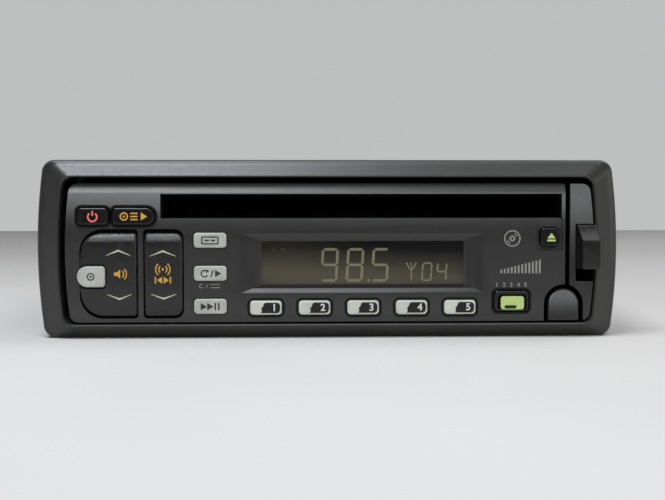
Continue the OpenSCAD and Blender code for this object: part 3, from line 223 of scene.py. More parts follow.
def on_circle(x, z, radius, angle):
    """The point of a circle at an angle."""
    return x + radius * cos(angle), z + radius * sin(angle)


def corners(node):
    """Lowest and highest corner of a CAD node, in millimetres."""
    low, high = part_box(node)
    return Vector(low) / MM, Vector(high) / MM


def middle(node):
    """Place of a node's middle across the front, and its front depth, in millimetres."""
    low, high = corners(node)
    return (low.x + high.x) / 2, (low.z + high.z) / 2, low.y


def add_piece(name, data):
    """A new object with this data, in the scene."""
    piece = bpy.data.objects.new(name, data)
    bpy.context.scene.collection.objects.link(piece)
    return piece


def pick(piece):
    """Selects only this piece and makes it active."""
    bpy.ops.object.select_all(action="DESELECT")
    piece.select_set(True)
    bpy.context.view_layer.objects.active = piece


def edit_all(piece):
    """Enters edit mode with the whole mesh selected."""
    pick(piece)
    bpy.ops.object.mode_set(mode="EDIT")
    bpy.ops.mesh.select_all(action="SELECT")


def leave_edit():
    """Goes back to object mode."""
    bpy.ops.object.mode_set(mode="OBJECT")


def select_parts(piece, kind, test):
    """Enters edit mode with only the edges or faces selected that pass the test."""
    pick(piece)
    bpy.ops.object.mode_set(mode="EDIT")
    bpy.ops.mesh.select_mode(type=kind)
    bpy.ops.mesh.select_all(action="DESELECT")
    leave_edit()
    for part in piece.data.edges if kind == "EDGE" else piece.data.polygons:
        part.select = test(part)
    bpy.ops.object.mode_set(mode="EDIT")


def select_edges(piece, test):
    """Enters edit mode with the edges selected whose two ends pass the test."""
    points = [point.co.copy() for point in piece.data.vertices]
    select_parts(piece, "EDGE", lambda edge: all(test(points[index]) for index in edge.vertices))


def apply_modifier(piece, kind, **settings):
    """Shapes a piece with a modifier of these settings."""
    pick(piece)
    bpy.ops.object.modifier_add(type=kind)
    modifier = piece.modifiers[-1]
    for name, value in settings.items():
        setattr(modifier, name, value)
    bpy.ops.object.modifier_apply(modifier=modifier.name)


def dress(piece, body, slot, finish):
    """Gives a finished piece its material and the body that it rides on; its slot is not used."""
    piece.data.materials.clear()
    piece.data.materials.append(finish)
    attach(piece, body)
    return piece


def merged_copy(node):
    """A piece of its own with the merged mesh of a CAD node, which it stands for."""
    piece = add_piece(f"{node}_finished", frame["nodes"][node].data.copy())
    edit_all(piece)
    bpy.ops.mesh.remove_doubles(threshold=MERGE * MM)
    bpy.ops.mesh.dissolve_limited(angle_limit=FLAT_ANGLE)
    leave_edit()
    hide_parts(node)
    return piece


def round_front(piece, width, keep=None):
    """Rounds the edges around the front face of a piece, but not where keep says so."""
    front = min(point.co.y for point in piece.data.vertices)
    select_edges(piece, lambda point: point.y < front + MERGE * MM * 10 and not (keep and keep(point / MM)))
    bpy.ops.mesh.bevel(offset=width, segments=FRONT_STEPS, affect="EDGES", clamp_overlap=keep is None)
    leave_edit()


def round_edges(piece, width, segments=2):
    """Rounds every sharp edge of a piece and shades it smoothly between the flats."""
    apply_modifier(
        piece, "BEVEL", width=width, segments=segments, limit_method="ANGLE", angle_limit=SHARP_ANGLE)
    bpy.ops.object.shade_smooth_by_angle(angle=SMOOTH_ANGLE)
    apply_modifier(piece, "WEIGHTED_NORMAL", keep_sharp=True)


def leaning_cage(node, deep, leans):
    """A cage around the front of a node that rounds back from one height to another, in millimetres."""
    low, high = corners(node)
    high.y = low.y + deep
    lattice = bpy.data.lattices.new(f"{node}_cage")
    lattice.points_u, lattice.points_v, lattice.points_w = 2, 2, CAGE_ROWS
    for axis in "uvw":
        setattr(lattice, f"interpolation_type_{axis}", "KEY_LINEAR")
    cage = add_piece(f"{node}_cage", lattice)
    cage.location = (low + high) / 2 * MM
    rise = (high.z - low.z) / (CAGE_ROWS - 1)
    cage.scale = Vector((high.x - low.x, deep, rise)) * MM
    heights = [low.z + rise * row for row in range(CAGE_ROWS)]
    for row, height in enumerate(heights):
        back = sum(depth * max(0.0, (height - start) / (end - start)) ** 2 for start, end, depth in leans)
        for point in lattice.points[4 * row:4 * row + 2]:
            point.co_deform.y += back / deep
    return cage, heights[1:-1]


def round_back(piece, node, deep, leans):
    """Rounds the front of a piece back, by a cage around the front of a node."""
    cage, heights = leaning_cage(node, deep, leans)
    for height in heights:
        cut_faces(piece, height)
    apply_modifier(piece, "LATTICE", object=cage)
    bpy.data.lattices.remove(cage.data)


def cut_faces(piece, place, across="Z", test=None):
    """Splits the faces that pass the test, or all, along a plane across an axis, in millimetres."""
    select_parts(piece, "FACE", lambda face: test is None or test(face.center / MM, face.normal))
    normal = Vector([float(letter == across) for letter in "XYZ"])
    bpy.ops.mesh.bisect(plane_co=normal * place * MM, plane_no=normal)
    leave_edit()


def paint_faces(piece, finish, test):
    """Gives another finish to the faces whose middle, in millimetres, and normal pass the test."""
    piece.data.materials.append(finish)
    index = len(piece.data.materials) - 1
    for face in piece.data.polygons:
        if test(face.center / MM, face.normal):
            face.material_index = index


def finished(node, slot, finish, edge, segments=2, front=0.0, keep=None, lean=None):
    """A CAD node's stand-in with rounded edges and its finish."""
    piece = merged_copy(node)
    if front:
        round_front(piece, front, keep)
    if lean:
        round_back(piece, node, *lean)
    round_edges(piece, edge, segments)
    return dress(piece, BODY_OF[node], slot, finish)


def finish_groups(groups, **options):
    """Finishes groups of nodes, each group with its finish, and gives the pieces by node."""
    return {
        node: finished(node, slot, finish, sizes().sheet_edge, **options)
        for slot, finish, nodes in groups
        for node in nodes
    }


def bulged_loop(low, high, bulge, radius, depth, steps=24):
    """Closed loop, at a depth, of a plate with round corners and bulged sides, in metres."""
    half, centre = (high[1] - low[1]) / 2, (high[1] + low[1]) / 2
    turn = (half ** 2 + bulge ** 2) / (2 * bulge)

    def inset(z):
        return turn - (turn ** 2 - (z - centre) ** 2) ** 0.5

    corner_in = inset(low[1] + radius)
    left, right = low[0] + corner_in + radius, high[0] - corner_in - radius
    bottom, top = low[1] + radius, high[1] - radius
    shares = [step / steps for step in range(steps)]
    turns = [radians(90 * step / (steps // 2)) for step in range(steps // 2)]
    heights = [between(share, bottom, top) for share in shares]
    loop = [on_circle(right, bottom, radius, angle - pi / 2) for angle in turns]
    loop += [(high[0] - inset(z), z) for z in heights]
    loop += [on_circle(right, top, radius, angle) for angle in turns]
    loop += [(between(share, right, left), high[1]) for share in shares]
    loop += [(low[0] + high[0] - x, low[1] + high[1] - z) for x, z in loop]
    return [(x, depth, z) for x, z in loop]


def loop_curve(name, dimensions, loops):
    """A curve of closed loops of points."""
    curve = bpy.data.curves.new(name, "CURVE")
    curve.dimensions = dimensions
    for loop in loops:
        spline = curve.splines.new("POLY")
        spline.points.add(len(loop) - 1)
        spline.use_cyclic_u = True
        for point, place in zip(spline.points, loop):
            point.co = (*place, 1.0)
    return add_piece(name, curve)


def to_mesh(piece):
    """Turns a curve or text into a mesh."""
    pick(piece)
    bpy.ops.object.convert(target="MESH")
    return bpy.context.object


def lofted_ring(name, loops):
    """A closed ring of faces through loops of equally many points, the last joined to the first."""
    piece = to_mesh(loop_curve(name, "3D", loops))
    count = len(loops[0])
    for place in range(len(loops)):
        pair = {place, (place + 1) % len(loops)}

        def in_pair(edge):
            first, last = (index // count for index in edge.vertices)
            return first == last and first in pair

        select_parts(piece, "EDGE", in_pair)
        bpy.ops.mesh.bridge_edge_loops()
        leave_edit()
    edit_all(piece)
    bpy.ops.mesh.normals_make_consistent(inside=False)
    leave_edit()
    bpy.ops.object.shade_smooth_by_angle(angle=SMOOTH_ANGLE)
    return piece


def feed(tree, socket, value):
    """Links an output to a socket, or sets the socket to a plain value."""
    if isinstance(value, bpy.types.NodeSocket):
        tree.links.new(value, socket)
    else:
        socket.default_value = value


def add_node(tree, kind, inputs=None, **settings):
    """A new shader node with these settings, and an output or a value for each named input."""
    node = tree.nodes.new(f"ShaderNode{kind}")
    for name, value in settings.items():
        setattr(node, name, value)
    for name, value in (inputs or {}).items():
        feed(tree, node.inputs[name], value)
    return node


SHADER_INPUTS = {
    "colour": "Base Color", "rough": "Roughness", "gloss": "Specular IOR Level", "metal": "Metallic",
    "alpha": "Alpha", "glow": "Emission Color", "power": "Emission Strength", "normal": "Normal",
}


class Recipe:
    """Builds one procedural finish on Object coordinates, in millimetres."""

    def __init__(self, name):
        self.material = bpy.data.materials.new(name)
        self.material.use_nodes = True
        self.tree = self.material.node_tree
        self.shader = self.tree.nodes["Principled BSDF"]
        self.place = self.node("TexCoord").outputs["Object"]
        self.normal = None

    def node(self, kind, inputs=None, **settings):
        """A new node of this finish."""
        return add_node(self.tree, kind, inputs, **settings)

    def stretch(self, scale):
        """Object coordinates times a scale for each axis."""
        return self.node("Mapping", {"Scale": scale, "Vector": self.place}).outputs["Vector"]

    def grain(self, size, detail=2.0, vector=None):
        """Noise whose lumps are about this many millimetres across."""
        inputs = {"Scale": 1 / (size * MM), "Detail": detail, "Vector": vector or self.place}
        return self.node("TexNoise", inputs).outputs["Fac"]

    def cells(self, size):
        """Random grey for each cell of about this many millimetres."""
        voronoi = self.node("TexVoronoi", {"Scale": 1 / (size * MM), "Vector": self.place})
        return self.node("SeparateColor", {"Color": voronoi.outputs["Color"]}).outputs["Red"]

    def along(self, axis, start, end):
        """A value from 0 at start to 1 at end, in millimetres along X, Y or Z."""
        split = self.node("SeparateXYZ", {"Vector": self.place})
        return self.spread(split.outputs[axis], 0.0, 1.0, start * MM, end * MM)

    def spread(self, value, low, high, start=0.3, end=0.7):
        """A value moved from the range start to end into the range low to high."""
        inputs = {"From Min": start, "From Max": end, "To Min": low, "To Max": high, "Value": value}
        return self.node("MapRange", inputs).outputs["Result"]

    def worn_edges(self, strength):
        """High on the sharp outer edges, where hands rub the surface."""
        pointed = self.node("NewGeometry").outputs["Pointiness"]
        return self.spread(pointed, 0.0, strength, *RUBBED_POINTS)

    def mix(self, factor, first, second):
        """A colour between two colours or colour outputs."""
        inputs = {"Factor": factor}
        for socket, colour in ((6, first), (7, second)):
            inputs[socket] = colour if isinstance(colour, bpy.types.NodeSocket) else (*colour, 1.0)
        return self.node("Mix", inputs, data_type="RGBA").outputs[2]

    def join(self, operation, first, second, clamp=False):
        """The result of one sum on two values or outputs."""
        sum_node = self.node("Math", {0: first, 1: second}, operation=operation, use_clamp=clamp)
        return sum_node.outputs["Value"]

    def bump(self, height, depth, strength=0.5):
        """Relief of this many millimetres under the light."""
        inputs = {"Distance": depth * MM, "Strength": strength, "Height": height}
        if self.normal:
            inputs["Normal"] = self.normal
        self.normal = self.node("Bump", inputs).outputs["Normal"]
        self.done(normal=self.normal)

    def lean(self, start, end, depth):
        """Surface that rounds back by this many millimetres from one height to another."""
        square = self.join("POWER", self.along("Z", start, end), 2.0)
        self.bump(self.join("SUBTRACT", 1.0, square), depth, 1.0)

    def blotch(self, size, detail, most=1.0, start=0.3, end=0.7):
        """A factor from 0 to most, in blotches of about this many millimetres."""
        return self.spread(self.grain(size, detail), 0.0, most, start, end)

    def mottle(self, size, detail, colour, dark, light):
        """A colour in darker and lighter blotches."""
        return self.mix(self.blotch(size, detail), shade(colour, dark), shade(colour, light))

    def done(self, **inputs):
        """The material, with these inputs of its shader fixed or varying over the surface."""
        for name, value in inputs.items():
            feed(self.tree, self.shader.inputs[SHADER_INPUTS[name]], value)
        return self.material


def shade(colour, factor):
    """A colour made lighter or darker."""
    return tuple(min(1.0, part * factor) for part in colour)


def moulded_plastic(name, colour, rough, wear=0.25, gloss=0.35, leans=()):
    """Fine-grained moulded plastic with faint dust and rubbed edges."""
    recipe = Recipe(name)
    for lean in leans:
        recipe.lean(*lean)
    body = recipe.mottle(9.0, 4.0, colour, 0.88, 1.1)
    rubbed = recipe.mix(recipe.worn_edges(wear), body, shade(colour, 2.2))
    dusty = recipe.mix(recipe.blotch(0.7, 1.0, 0.2, 0.74, 0.84), rubbed, (0.25, 0.25, 0.26))
    haze = recipe.spread(recipe.grain(1.5, 3.0), rough - 0.03, rough + 0.04)
    recipe.bump(recipe.grain(0.35), 0.02, 0.45)
    return recipe.done(colour=dusty, rough=haze, gloss=gloss)


def charcoal(name, *leans):
    """The plastic of the trim and the face, which may lean back."""
    return moulded_plastic(name, colours().charcoal, 0.34, gloss=0.7, leans=leans)


def pitch_black(name, rough, wear=0.0):
    """Nearly black plastic, as painted shade in slots, rims and gaps, and for the black carrier."""
    return moulded_plastic(name, colours().slot_black, rough, wear)


def polished_plastic(name, colour, rough, wear=0.3):
    """Polished key plastic with finger haze and fine scuffs."""
    recipe = Recipe(name)
    body = recipe.mottle(5.0, 3.0, colour, 0.9, 1.12)
    rubbed = recipe.mix(recipe.worn_edges(wear), body, shade(colour, 1.9))
    haze = recipe.spread(recipe.grain(2.2, 5.0), rough - 0.05, rough + 0.12)
    recipe.bump(recipe.grain(0.9, 3.0), 0.008, 0.35)
    return recipe.done(colour=rubbed, rough=haze, gloss=0.5)


def worn_paint(name, colour, rough=0.5, glow=0.0):
    """Printed or lit sign with tiny gaps where the ink has rubbed off."""
    recipe = Recipe(name)
    inked = recipe.mix(recipe.blotch(0.35, 3.0, 0.55, 0.5, 0.72), colour, shade(colour, 0.55))
    haze = recipe.spread(recipe.grain(0.8), rough - 0.08, rough + 0.1)
    recipe.bump(recipe.grain(0.2), 0.006, 0.3)
    if glow:
        recipe.done(glow=inked, power=glow)
    return recipe.done(colour=inked, rough=haze)


def plated_sheet(name, colour, rough, spangle=3.5):
    """Zinc-plated sheet with faint crystals, drawing lines and handling marks."""
    recipe = Recipe(name)
    crystal = recipe.mix(recipe.cells(spangle), shade(colour, 0.86), shade(colour, 1.06))
    stained = recipe.mix(recipe.blotch(16.0, 5.0, 0.35, 0.5, 0.75), crystal, shade(colour, 0.62))
    lines = recipe.grain(0.5, 3.0, recipe.stretch((0.06, 1.0, 1.0)))
    recipe.bump(lines, 0.012, 0.25)
    return recipe.done(colour=stained, metal=1.0, rough=recipe.spread(lines, rough - 0.08, rough + 0.12))


def turned_metal(name, colour, rough, streak=(1.0, 0.08, 1.0)):
    """Drawn or turned metal with fine streaks and a little tarnish."""
    recipe = Recipe(name)
    tarnished = recipe.mix(recipe.blotch(6.0, 4.0, 0.6, 0.45, 0.75), colour, shade(colour, 0.72))
    lines = recipe.grain(0.3, 3.0, recipe.stretch(streak))
    recipe.bump(lines, 0.01, 0.3)
    return recipe.done(colour=tarnished, metal=1.0, rough=recipe.spread(lines, rough - 0.07, rough + 0.12))


def circuit_board(name, colour, flat):
    """Solder resist over copper tracks, on a board that is flat along the named axes."""
    recipe = Recipe(name)
    split = recipe.node("SeparateXYZ", {"Vector": recipe.place})
    joined = recipe.node("CombineXYZ", {socket: split.outputs[axis] for axis, socket in zip(flat, "XY")})
    tracks = recipe.node("TexBrick", {
        "Scale": 1.0, "Brick Width": 7 * MM, "Row Height": 2.4 * MM, "Mortar Size": 0.35 * MM,
        "Mortar Smooth": 0.1, "Vector": joined.outputs["Vector"],
    }).outputs["Fac"]
    copper = recipe.mix(tracks, colour, shade(colour, 1.9))
    stained = recipe.mix(recipe.blotch(12.0, 4.0, 0.5), copper, shade(colour, 0.7))
    recipe.bump(tracks, 0.035, 0.6)
    return recipe.done(colour=stained, rough=recipe.spread(recipe.grain(1.5), 0.28, 0.42))


def soft_rubber(name, colour):
    """Matt rubber with a dusty bloom."""
    recipe = Recipe(name)
    bloom = recipe.mix(recipe.blotch(2.5, 5.0, 0.5), colour, (0.06, 0.06, 0.062))
    recipe.bump(recipe.grain(0.25), 0.03, 0.5)
    return recipe.done(colour=bloom, rough=recipe.spread(recipe.grain(1.0), 0.72, 0.9))


def smoked_lens(name):
    """Clear smoked window with a faint haze of fine scratches."""
    recipe = Recipe(name)
    smoke = recipe.mix(recipe.blotch(3.0, 5.0), (0.006, 0.006, 0.005), (0.014, 0.013, 0.011))
    scratches = recipe.grain(0.4, 3.0, recipe.stretch((0.05, 1.0, 1.0)))
    recipe.bump(scratches, 0.003, 0.15)
    return recipe.done(colour=smoke, rough=recipe.spread(scratches, 0.08, 0.2), alpha=0.32)


def display_panel(name, low, high):
    """Dim panel with painted light: it glows brown and pale at the bottom left, shaded nearly black at the
    top right.
    """
    recipe = Recipe(name)
    box_low, box_high = corners("display_module")
    rise = recipe.along("Z", box_low.z + 3.0, box_high.z - 3.0)
    across = recipe.along("X", box_low.x - 10.0, box_high.x + 25.0)
    fade = recipe.join("ADD", rise, recipe.spread(across, -0.3, 0.3, 0.0, 1.0))
    cloud = recipe.spread(recipe.grain(30.0, 0.0), 0.95, 1.05)
    tone = recipe.mix(recipe.join("MULTIPLY", fade, cloud, clamp=True), low, high)
    haze = recipe.spread(recipe.grain(9.0), 0.45, 0.6)
    # Painted light: the same gradient is the colour and the glow of the panel.
    return recipe.done(colour=tone, glow=tone, power=0.36, rough=haze, gloss=0.2)


def round_loop(x, z, width, height, radius, steps=6):
    """Closed loop of a rectangle with round corners, of one radius or of one for right and left."""
    loop = []
    right, left = radius if isinstance(radius, tuple) else (radius, radius)
    for quarter, (side, rise) in enumerate(((1, 1), (-1, 1), (-1, -1), (1, -1))):
        radius = right if side > 0 else left
        centre = (x + side * (width / 2 - radius), z + rise * (height / 2 - radius))
        loop += [on_circle(*centre, radius, (quarter + step / steps) * pi / 2) for step in range(steps + 1)]
    return loop


def ring_loops(x, z, *radii, steps=40):
    """Closed loops of circles around one middle."""
    return [[on_circle(x, z, radius, 2 * pi * i / steps) for i in range(steps)] for radius in radii]


def arc_loop(x, z, radius, width, start, end, steps=20):
    """Closed loop of an arc-shaped stroke between two angles in degrees."""
    angles = [radians(start + (end - start) * i / steps) for i in range(steps + 1)]
    outer = [on_circle(x, z, radius + width / 2, angle) for angle in angles]
    return outer + [on_circle(x, z, radius - width / 2, angle) for angle in reversed(angles)]


def bar_loop(start, end, width, tip=0.0):
    """Closed loop of a straight stroke, with pointed ends where tip is set."""
    along = Vector(end) - Vector(start)
    along.normalize()
    across = Vector((-along.y, along.x)) * width / 2
    first, last = Vector(start), Vector(end)
    loop = [first + across, last + across, last - across, first - across]
    if tip:
        loop.insert(2, last + along * tip)
        loop.append(first - along * tip)
    return [tuple(point) for point in loop]


def level_loop(left, right, z, width):
    """Closed loop of a level stroke."""
    return bar_loop((left, z), (right, z), width)


def upright_loop(x, z, half, width):
    """Closed loop of an upright stroke around its middle."""
    return bar_loop((x, z - half), (x, z + half), width)


def arrow_loop(x, z, width, rise, stroke):
    """Closed loop of a wide arrow head; a negative rise points it down."""
    half = width / 2
    lift = stroke if rise > 0 else -stroke
    return [
        (x - half, z), (x, z + rise), (x + half, z),
        (x + half, z - lift * 0.2), (x, z + rise - lift), (x - half, z - lift * 0.2),
    ]


def triangle_loop(x, z, width, height):
    """Closed loop of a triangle; a negative width points it left, and otherwise right."""
    return [(x - width / 2, z - height / 2), (x + width / 2, z), (x - width / 2, z + height / 2)]


def aerial_loops(x, z, height, stroke=0.45):
    """Closed loops of an aerial sign: a mast with two arms."""
    loops = [bar_loop((x, z), (x, z + height), stroke)]
    for side in (-1, 1):
        loops.append(bar_loop((x + side * 0.5, z + height * 0.62), (x + side * 1.6, z + height), stroke))
    return loops


SEGMENTS = {
    "0": "abcdef", "1": "bc", "2": "abged", "3": "abgcd", "4": "fgbc",
    "5": "afgcd", "6": "afgedc", "7": "abc", "8": "abcdefg", "9": "abcdfg",
}


def segment_loops(digit, x, z, width, height, stroke, slant=0.06):
    """Closed loops of the lit segments of one digit, from its lower left corner."""
    gap, tip = stroke * 0.62, stroke * 0.45
    half = height / 2
    ends = {
        "a": ((gap, height), (width - gap, height)), "d": ((gap, 0), (width - gap, 0)),
        "g": ((gap, half), (width - gap, half)),
        "b": ((width, half + gap), (width, height - gap)), "c": ((width, gap), (width, half - gap)),
        "e": ((0, gap), (0, half - gap)), "f": ((0, half + gap), (0, height - gap)),
    }
    loops = []
    for name in SEGMENTS[digit]:
        loop = bar_loop(*ends[name], stroke, tip)
        loops.append([(x + px + pz * slant, z + pz) for px, pz in loop])
    return loops


def digit_loops(text, x, z, pitch, *shape):
    """Closed loops of a row of digits of one shape."""
    loops = []
    for place, digit in enumerate(text):
        loops += segment_loops(digit, x + pitch * place, z, *shape)
    return loops


def sign(name, body, slot, finish, loops, front):
    """A thin printed plate at this depth, from closed loops across the front in millimetres."""
    piece = loop_curve(name, "2D", [[(x * MM, z * MM, 0.0) for x, z in loop] for loop in loops])
    piece.data.fill_mode = "BOTH"
    piece.data.extrude = INK * MM / 2
    return flat_mesh(piece, front, body, slot, finish)


def number(name, body, slot, finish, text, x, z, height, front):
    """A printed number around a place on the front."""
    bpy.ops.object.select_all(action="DESELECT")
    bpy.ops.object.text_add(location=(0.0, 0.0, 0.0))
    piece = bpy.context.object
    piece.name = name
    piece.data.body = text
    piece.data.size = height * MM * TEXT_SIZE
    piece.data.align_x = "CENTER"
    piece.data.align_y = "CENTER"
    piece.data.offset = height * MM * TEXT_WEIGHT
    piece.data.extrude = INK * MM / 2
    return flat_mesh(piece, front, body, slot, finish, (x, z))


def flat_mesh(piece, front, body, slot, finish, at=(0.0, 0.0)):
    """Turns a flat curve or text into a mesh that stands at a depth across the front."""
    piece = to_mesh(piece)
    piece.rotation_euler = (pi / 2, 0.0, 0.0)
    piece.location = (at[0] * MM, front * MM, at[1] * MM)
    bpy.ops.object.transform_apply(location=True, rotation=True, scale=False)
    edit_all(piece)
    bpy.ops.mesh.remove_doubles(threshold=MERGE * MM)
    bpy.ops.mesh.normals_make_consistent(inside=False)
    leave_edit()
    return dress(piece, body, slot, finish)


class PLAYER_OT_trim(bpy.types.Operator):
    """Bezel, side strip, corner tab and the carrier behind them"""

    bl_idname = "player.trim"
    bl_label = "Trim"

    def execute(self, context):
        size = sizes()
        trim = charcoal("trim_charcoal")
        # The carrier is black plastic, made nearly black as painted shade of the gap around the face.
        black = pitch_black("carrier_shade_black", 0.6, wear=0.05)
        bezel = self.bezel()
        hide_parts("bezel")
        dress(bezel, "chassis", "trim", trim)
        low, high = corners("side_strip")
        strip = charcoal("strip_charcoal", (low.z + LEAN_START, high.z, STRIP_LEAN))
        finished("side_strip", "trim", strip, size.face_edge)
        low, high = corners("corner_tab")
        tab = charcoal("tab_charcoal", (low.z - LEAN_START, high.z, TAB_LEAN))
        finished("corner_tab", "trim", tab, size.face_edge, front=size.key_edge)
        finished("front_carrier", "black_plastic", black, size.sheet_edge)
        return {"FINISHED"}

    def bezel(self):
        """Ring whose border slopes back and rounds over, between the opening and the outer edge."""
        size = sizes()
        low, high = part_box("bezel")
        open_low, open_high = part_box("front_carrier")
        gap = CARRIER_GAP * MM
        inner = ((open_low[0] - gap, open_low[2] - gap), (open_high[0] + gap, open_high[2] + gap))
        outer = ((low[0], low[2]), (high[0], high[2]))
        loops = []
        for share, y in self.profile(low[1], high[1], high[2] - inner[1][1]):
            corner_low, corner_high = (
                [between(share, a, b) for a, b in zip(*pair)] for pair in zip(inner, outer))
            bulge = between(share, size.open_bulge, size.trim_bulge)
            radius = between(share, size.open_corner, size.trim_corner)
            loops.append(bulged_loop(corner_low, corner_high, bulge, radius, y))
        return lofted_ring("bezel_finished", loops)

    def profile(self, front, back, border):
        """Points of the border's section: the share of the way out, and the depth."""
        size = sizes()
        round_share, lip_share = size.trim_edge / border, size.trim_lip / border
        points = [(0.0, back), (0.0, front + size.trim_lip)]
        points.append((lip_share * LIP_TURN[0], front + size.trim_lip * LIP_TURN[1]))
        start = (lip_share, front)
        end = (1.0 - round_share, front + size.trim_fall * (1.0 - round_share))
        for step in range(SLOPE_STEPS + 1):
            points.append(tuple(between(step / SLOPE_STEPS, a, b) for a, b in zip(start, end)))
        depth = size.trim_fall * round_share + size.trim_edge
        for step in range(1, TURN_STEPS + 1):
            angle = radians(90 * step / TURN_STEPS)
            points.append((end[0] + round_share * sin(angle), end[1] + depth * (1.0 - cos(angle))))
        return [*points, (1.0, back)]


class PLAYER_OT_face(bpy.types.Operator):
    """Shell of the detachable face, its rear cover and its connector"""

    bl_idname = "player.face"
    bl_label = "Face"

    def execute(self, context):
        size = sizes()
        low, high = corners("side_strip")
        brow = (high.z - FACE_TURN, high.z - FACE_BROW, FACE_LEAN)
        skin = charcoal("face_charcoal", brow, (low.z + CHIN, low.z, CHIN_LEAN))
        black = pitch_black("slot_black", 0.75)
        shell = finished("face_shell", "face", skin, size.face_edge)
        front = corners("face_shell")[0].y
        # Painted shade: faces deeper than the front skin, in the slot and the holes, are black.
        paint_faces(shell, black, lambda point, normal: point.y > front + SHADE_DEPTH)
        self.dark_rims(shell, black, front)
        self.window_shadow(shell, black, front)
        finish_groups((("black_plastic", black, ("face_rear_cover", "face_connector")),))
        return {"FINISHED"}

    def dark_rims(self, shell, black, front):
        """Painted shade: black on the edges and walls of the holes around the dark and pale keys and the
        rockers.
        """
        areas = []
        for node in (*BLACK_KEYS, "select_key", *PRESETS):
            low, high = corners(node)
            areas.append((low.x - RIM, high.x + RIM, low.z + FLANGE_LIP - RIM, high.z - FLANGE_LIP + RIM))
        for node in ROCKERS:
            low, high = corners(node)
            areas.append((low.x - RIM, high.x, low.z - RIM - ROCKER_RIM, high.z + RIM + ROCKER_RIM))

        def is_rim(point, normal):
            flat = normal.y < -FRONT_FACING and point.y < front + FRONT_DEEP
            return not flat and point.y < front + RIM_DEEP and any(
                left < point.x < right and bottom < point.z < top for left, right, bottom, top in areas)

        paint_faces(shell, black, is_rim)

    def window_shadow(self, shell, black, front):
        """Dark upper half of the slope under the display window."""
        low, high = corners("display_lens")
        window = low.z + LENS_LAP
        level = window - SHADOW_DROP

        def is_slope(point, normal):
            return (low.x - SLOPE_SIDE < point.x < high.x + SLOPE_SIDE
                    and window - SLOPE_HIGH < point.z < window
                    and normal.z > SLOPE_FACING and front < point.y < front + SLOPE_DEEP)

        cut_faces(shell, level, test=is_slope)
        paint_faces(shell, black, lambda point, normal: is_slope(point, normal) and point.z > level)


class PLAYER_OT_push_keys(bpy.types.Operator):
    """Thirteen push keys"""

    bl_idname = "player.push_keys"
    bl_label = "Push keys"

    def execute(self, context):
        tones = colours()
        black = polished_plastic("key_black", tones.gloss_black, 0.2)
        grey = polished_plastic("key_grey", tones.warm_grey, 0.42, wear=0.1)
        pale = polished_plastic("key_pale", tones.pale_key, 0.35, wear=0.1)
        groups = (
            ("black_key", black, BLACK_KEYS),
            ("grey_key", grey, ("select_key", *SIDE_KEYS)),
            ("pale_key", pale, PRESETS),
        )
        finish_groups(groups, front=sizes().key_edge)
        return {"FINISHED"}


def rocker_lean(node):
    """How a rocker rounds back at its two ends."""
    low, high = corners(node)
    top = (high.z - ROCKER_TOP, high.z, ROCKER_TOP_LEAN)
    return ROCKER_DEEP, (top, (low.z + ROCKER_FOOT, low.z, ROCKER_FOOT_LEAN))


class PLAYER_OT_rockers(bpy.types.Operator):
    """Volume and tune rockers and the release lever"""

    bl_idname = "player.rockers"
    bl_label = "Rockers and lever"

    def execute(self, context):
        size = sizes()
        dark = shade(colours().charcoal, 0.9)
        black = polished_plastic("rocker_black", dark, 0.24)
        lever = polished_plastic("lever_black", dark, 0.18)
        key_low, key_high = corners("select_key")

        def by_select_key(point):
            return all(key_low[axis] - KEY_ROOM < point[axis] < key_high[axis] + KEY_ROOM for axis in (0, 2))

        for node in ROCKERS:
            finished(node, "black_key", black, size.sheet_edge, front=size.rocker_edge, keep=by_select_key,
                     lean=rocker_lean(node))
        low, high = corners("release_lever")
        lean = (LEVER_DEEP, ((low.z + LEVER_FOOT, high.z, LEVER_LEAN),))
        thumb = finished("release_lever", "black_key", lever, size.face_edge, segments=3, lean=lean)
        # Painted shade: the lever's slide behind its front, and its left flank, are black.
        lever_shade = pitch_black("lever_shade_black", 0.75)
        back = low.y + LEVER_DEEP
        paint_faces(thumb, lever_shade, lambda point, normal: point.y > back or normal.x < -LEVER_FACING)
        return {"FINISHED"}


class PLAYER_OT_display(bpy.types.Operator):
    """Display lens, panel and digits"""

    bl_idname = "player.display"
    bl_label = "Display"

    def execute(self, context):
        tones, size = colours(), sizes()
        lens = smoked_lens("display_smoke")
        panel = display_panel("display_panel", tones.panel_low, tones.panel_high)
        lit = worn_paint("display_segment", tones.segment, 0.4, 0.5)
        finished("display_lens", "lens", lens, size.sheet_edge)
        module = finished("display_module", "black_plastic", panel, size.sheet_edge)
        low = corners("display_module")[0]
        select_edges(module, lambda point: point.y < (low.y + PANEL_SET) * MM)
        bpy.ops.transform.translate(value=(0.0, PANEL_SET * MM, 0.0))
        leave_edit()
        left, front, base = low.x, low.y + PANEL_SET, low.z + DIGIT_BASE
        loops = digit_loops("985", left + 20.4, base, 8.3, 4.8, size.digit_h / MM, 0.85)
        loops.append(round_loop(left + 35.9, base, 0.8, 0.8, 0.2))
        loops += aerial_loops(left + 49.9, base, 5.8)
        loops += digit_loops("04", left + 53.4, base, 4.9, 2.9, 5.6, 0.5)
        sign("display_digits", "face", "lens", lit, loops, front)
        faint = worn_paint("display_faint_segment", shade(tones.segment, 0.3), 0.4)
        marks = [round_loop(left + 2.5 + 2.6 * place, base + 10.1, 1.8, 1.2, 0.2) for place in range(3)]
        sign("display_marks", "face", "lens", faint, marks, front)
        return {"FINISHED"}


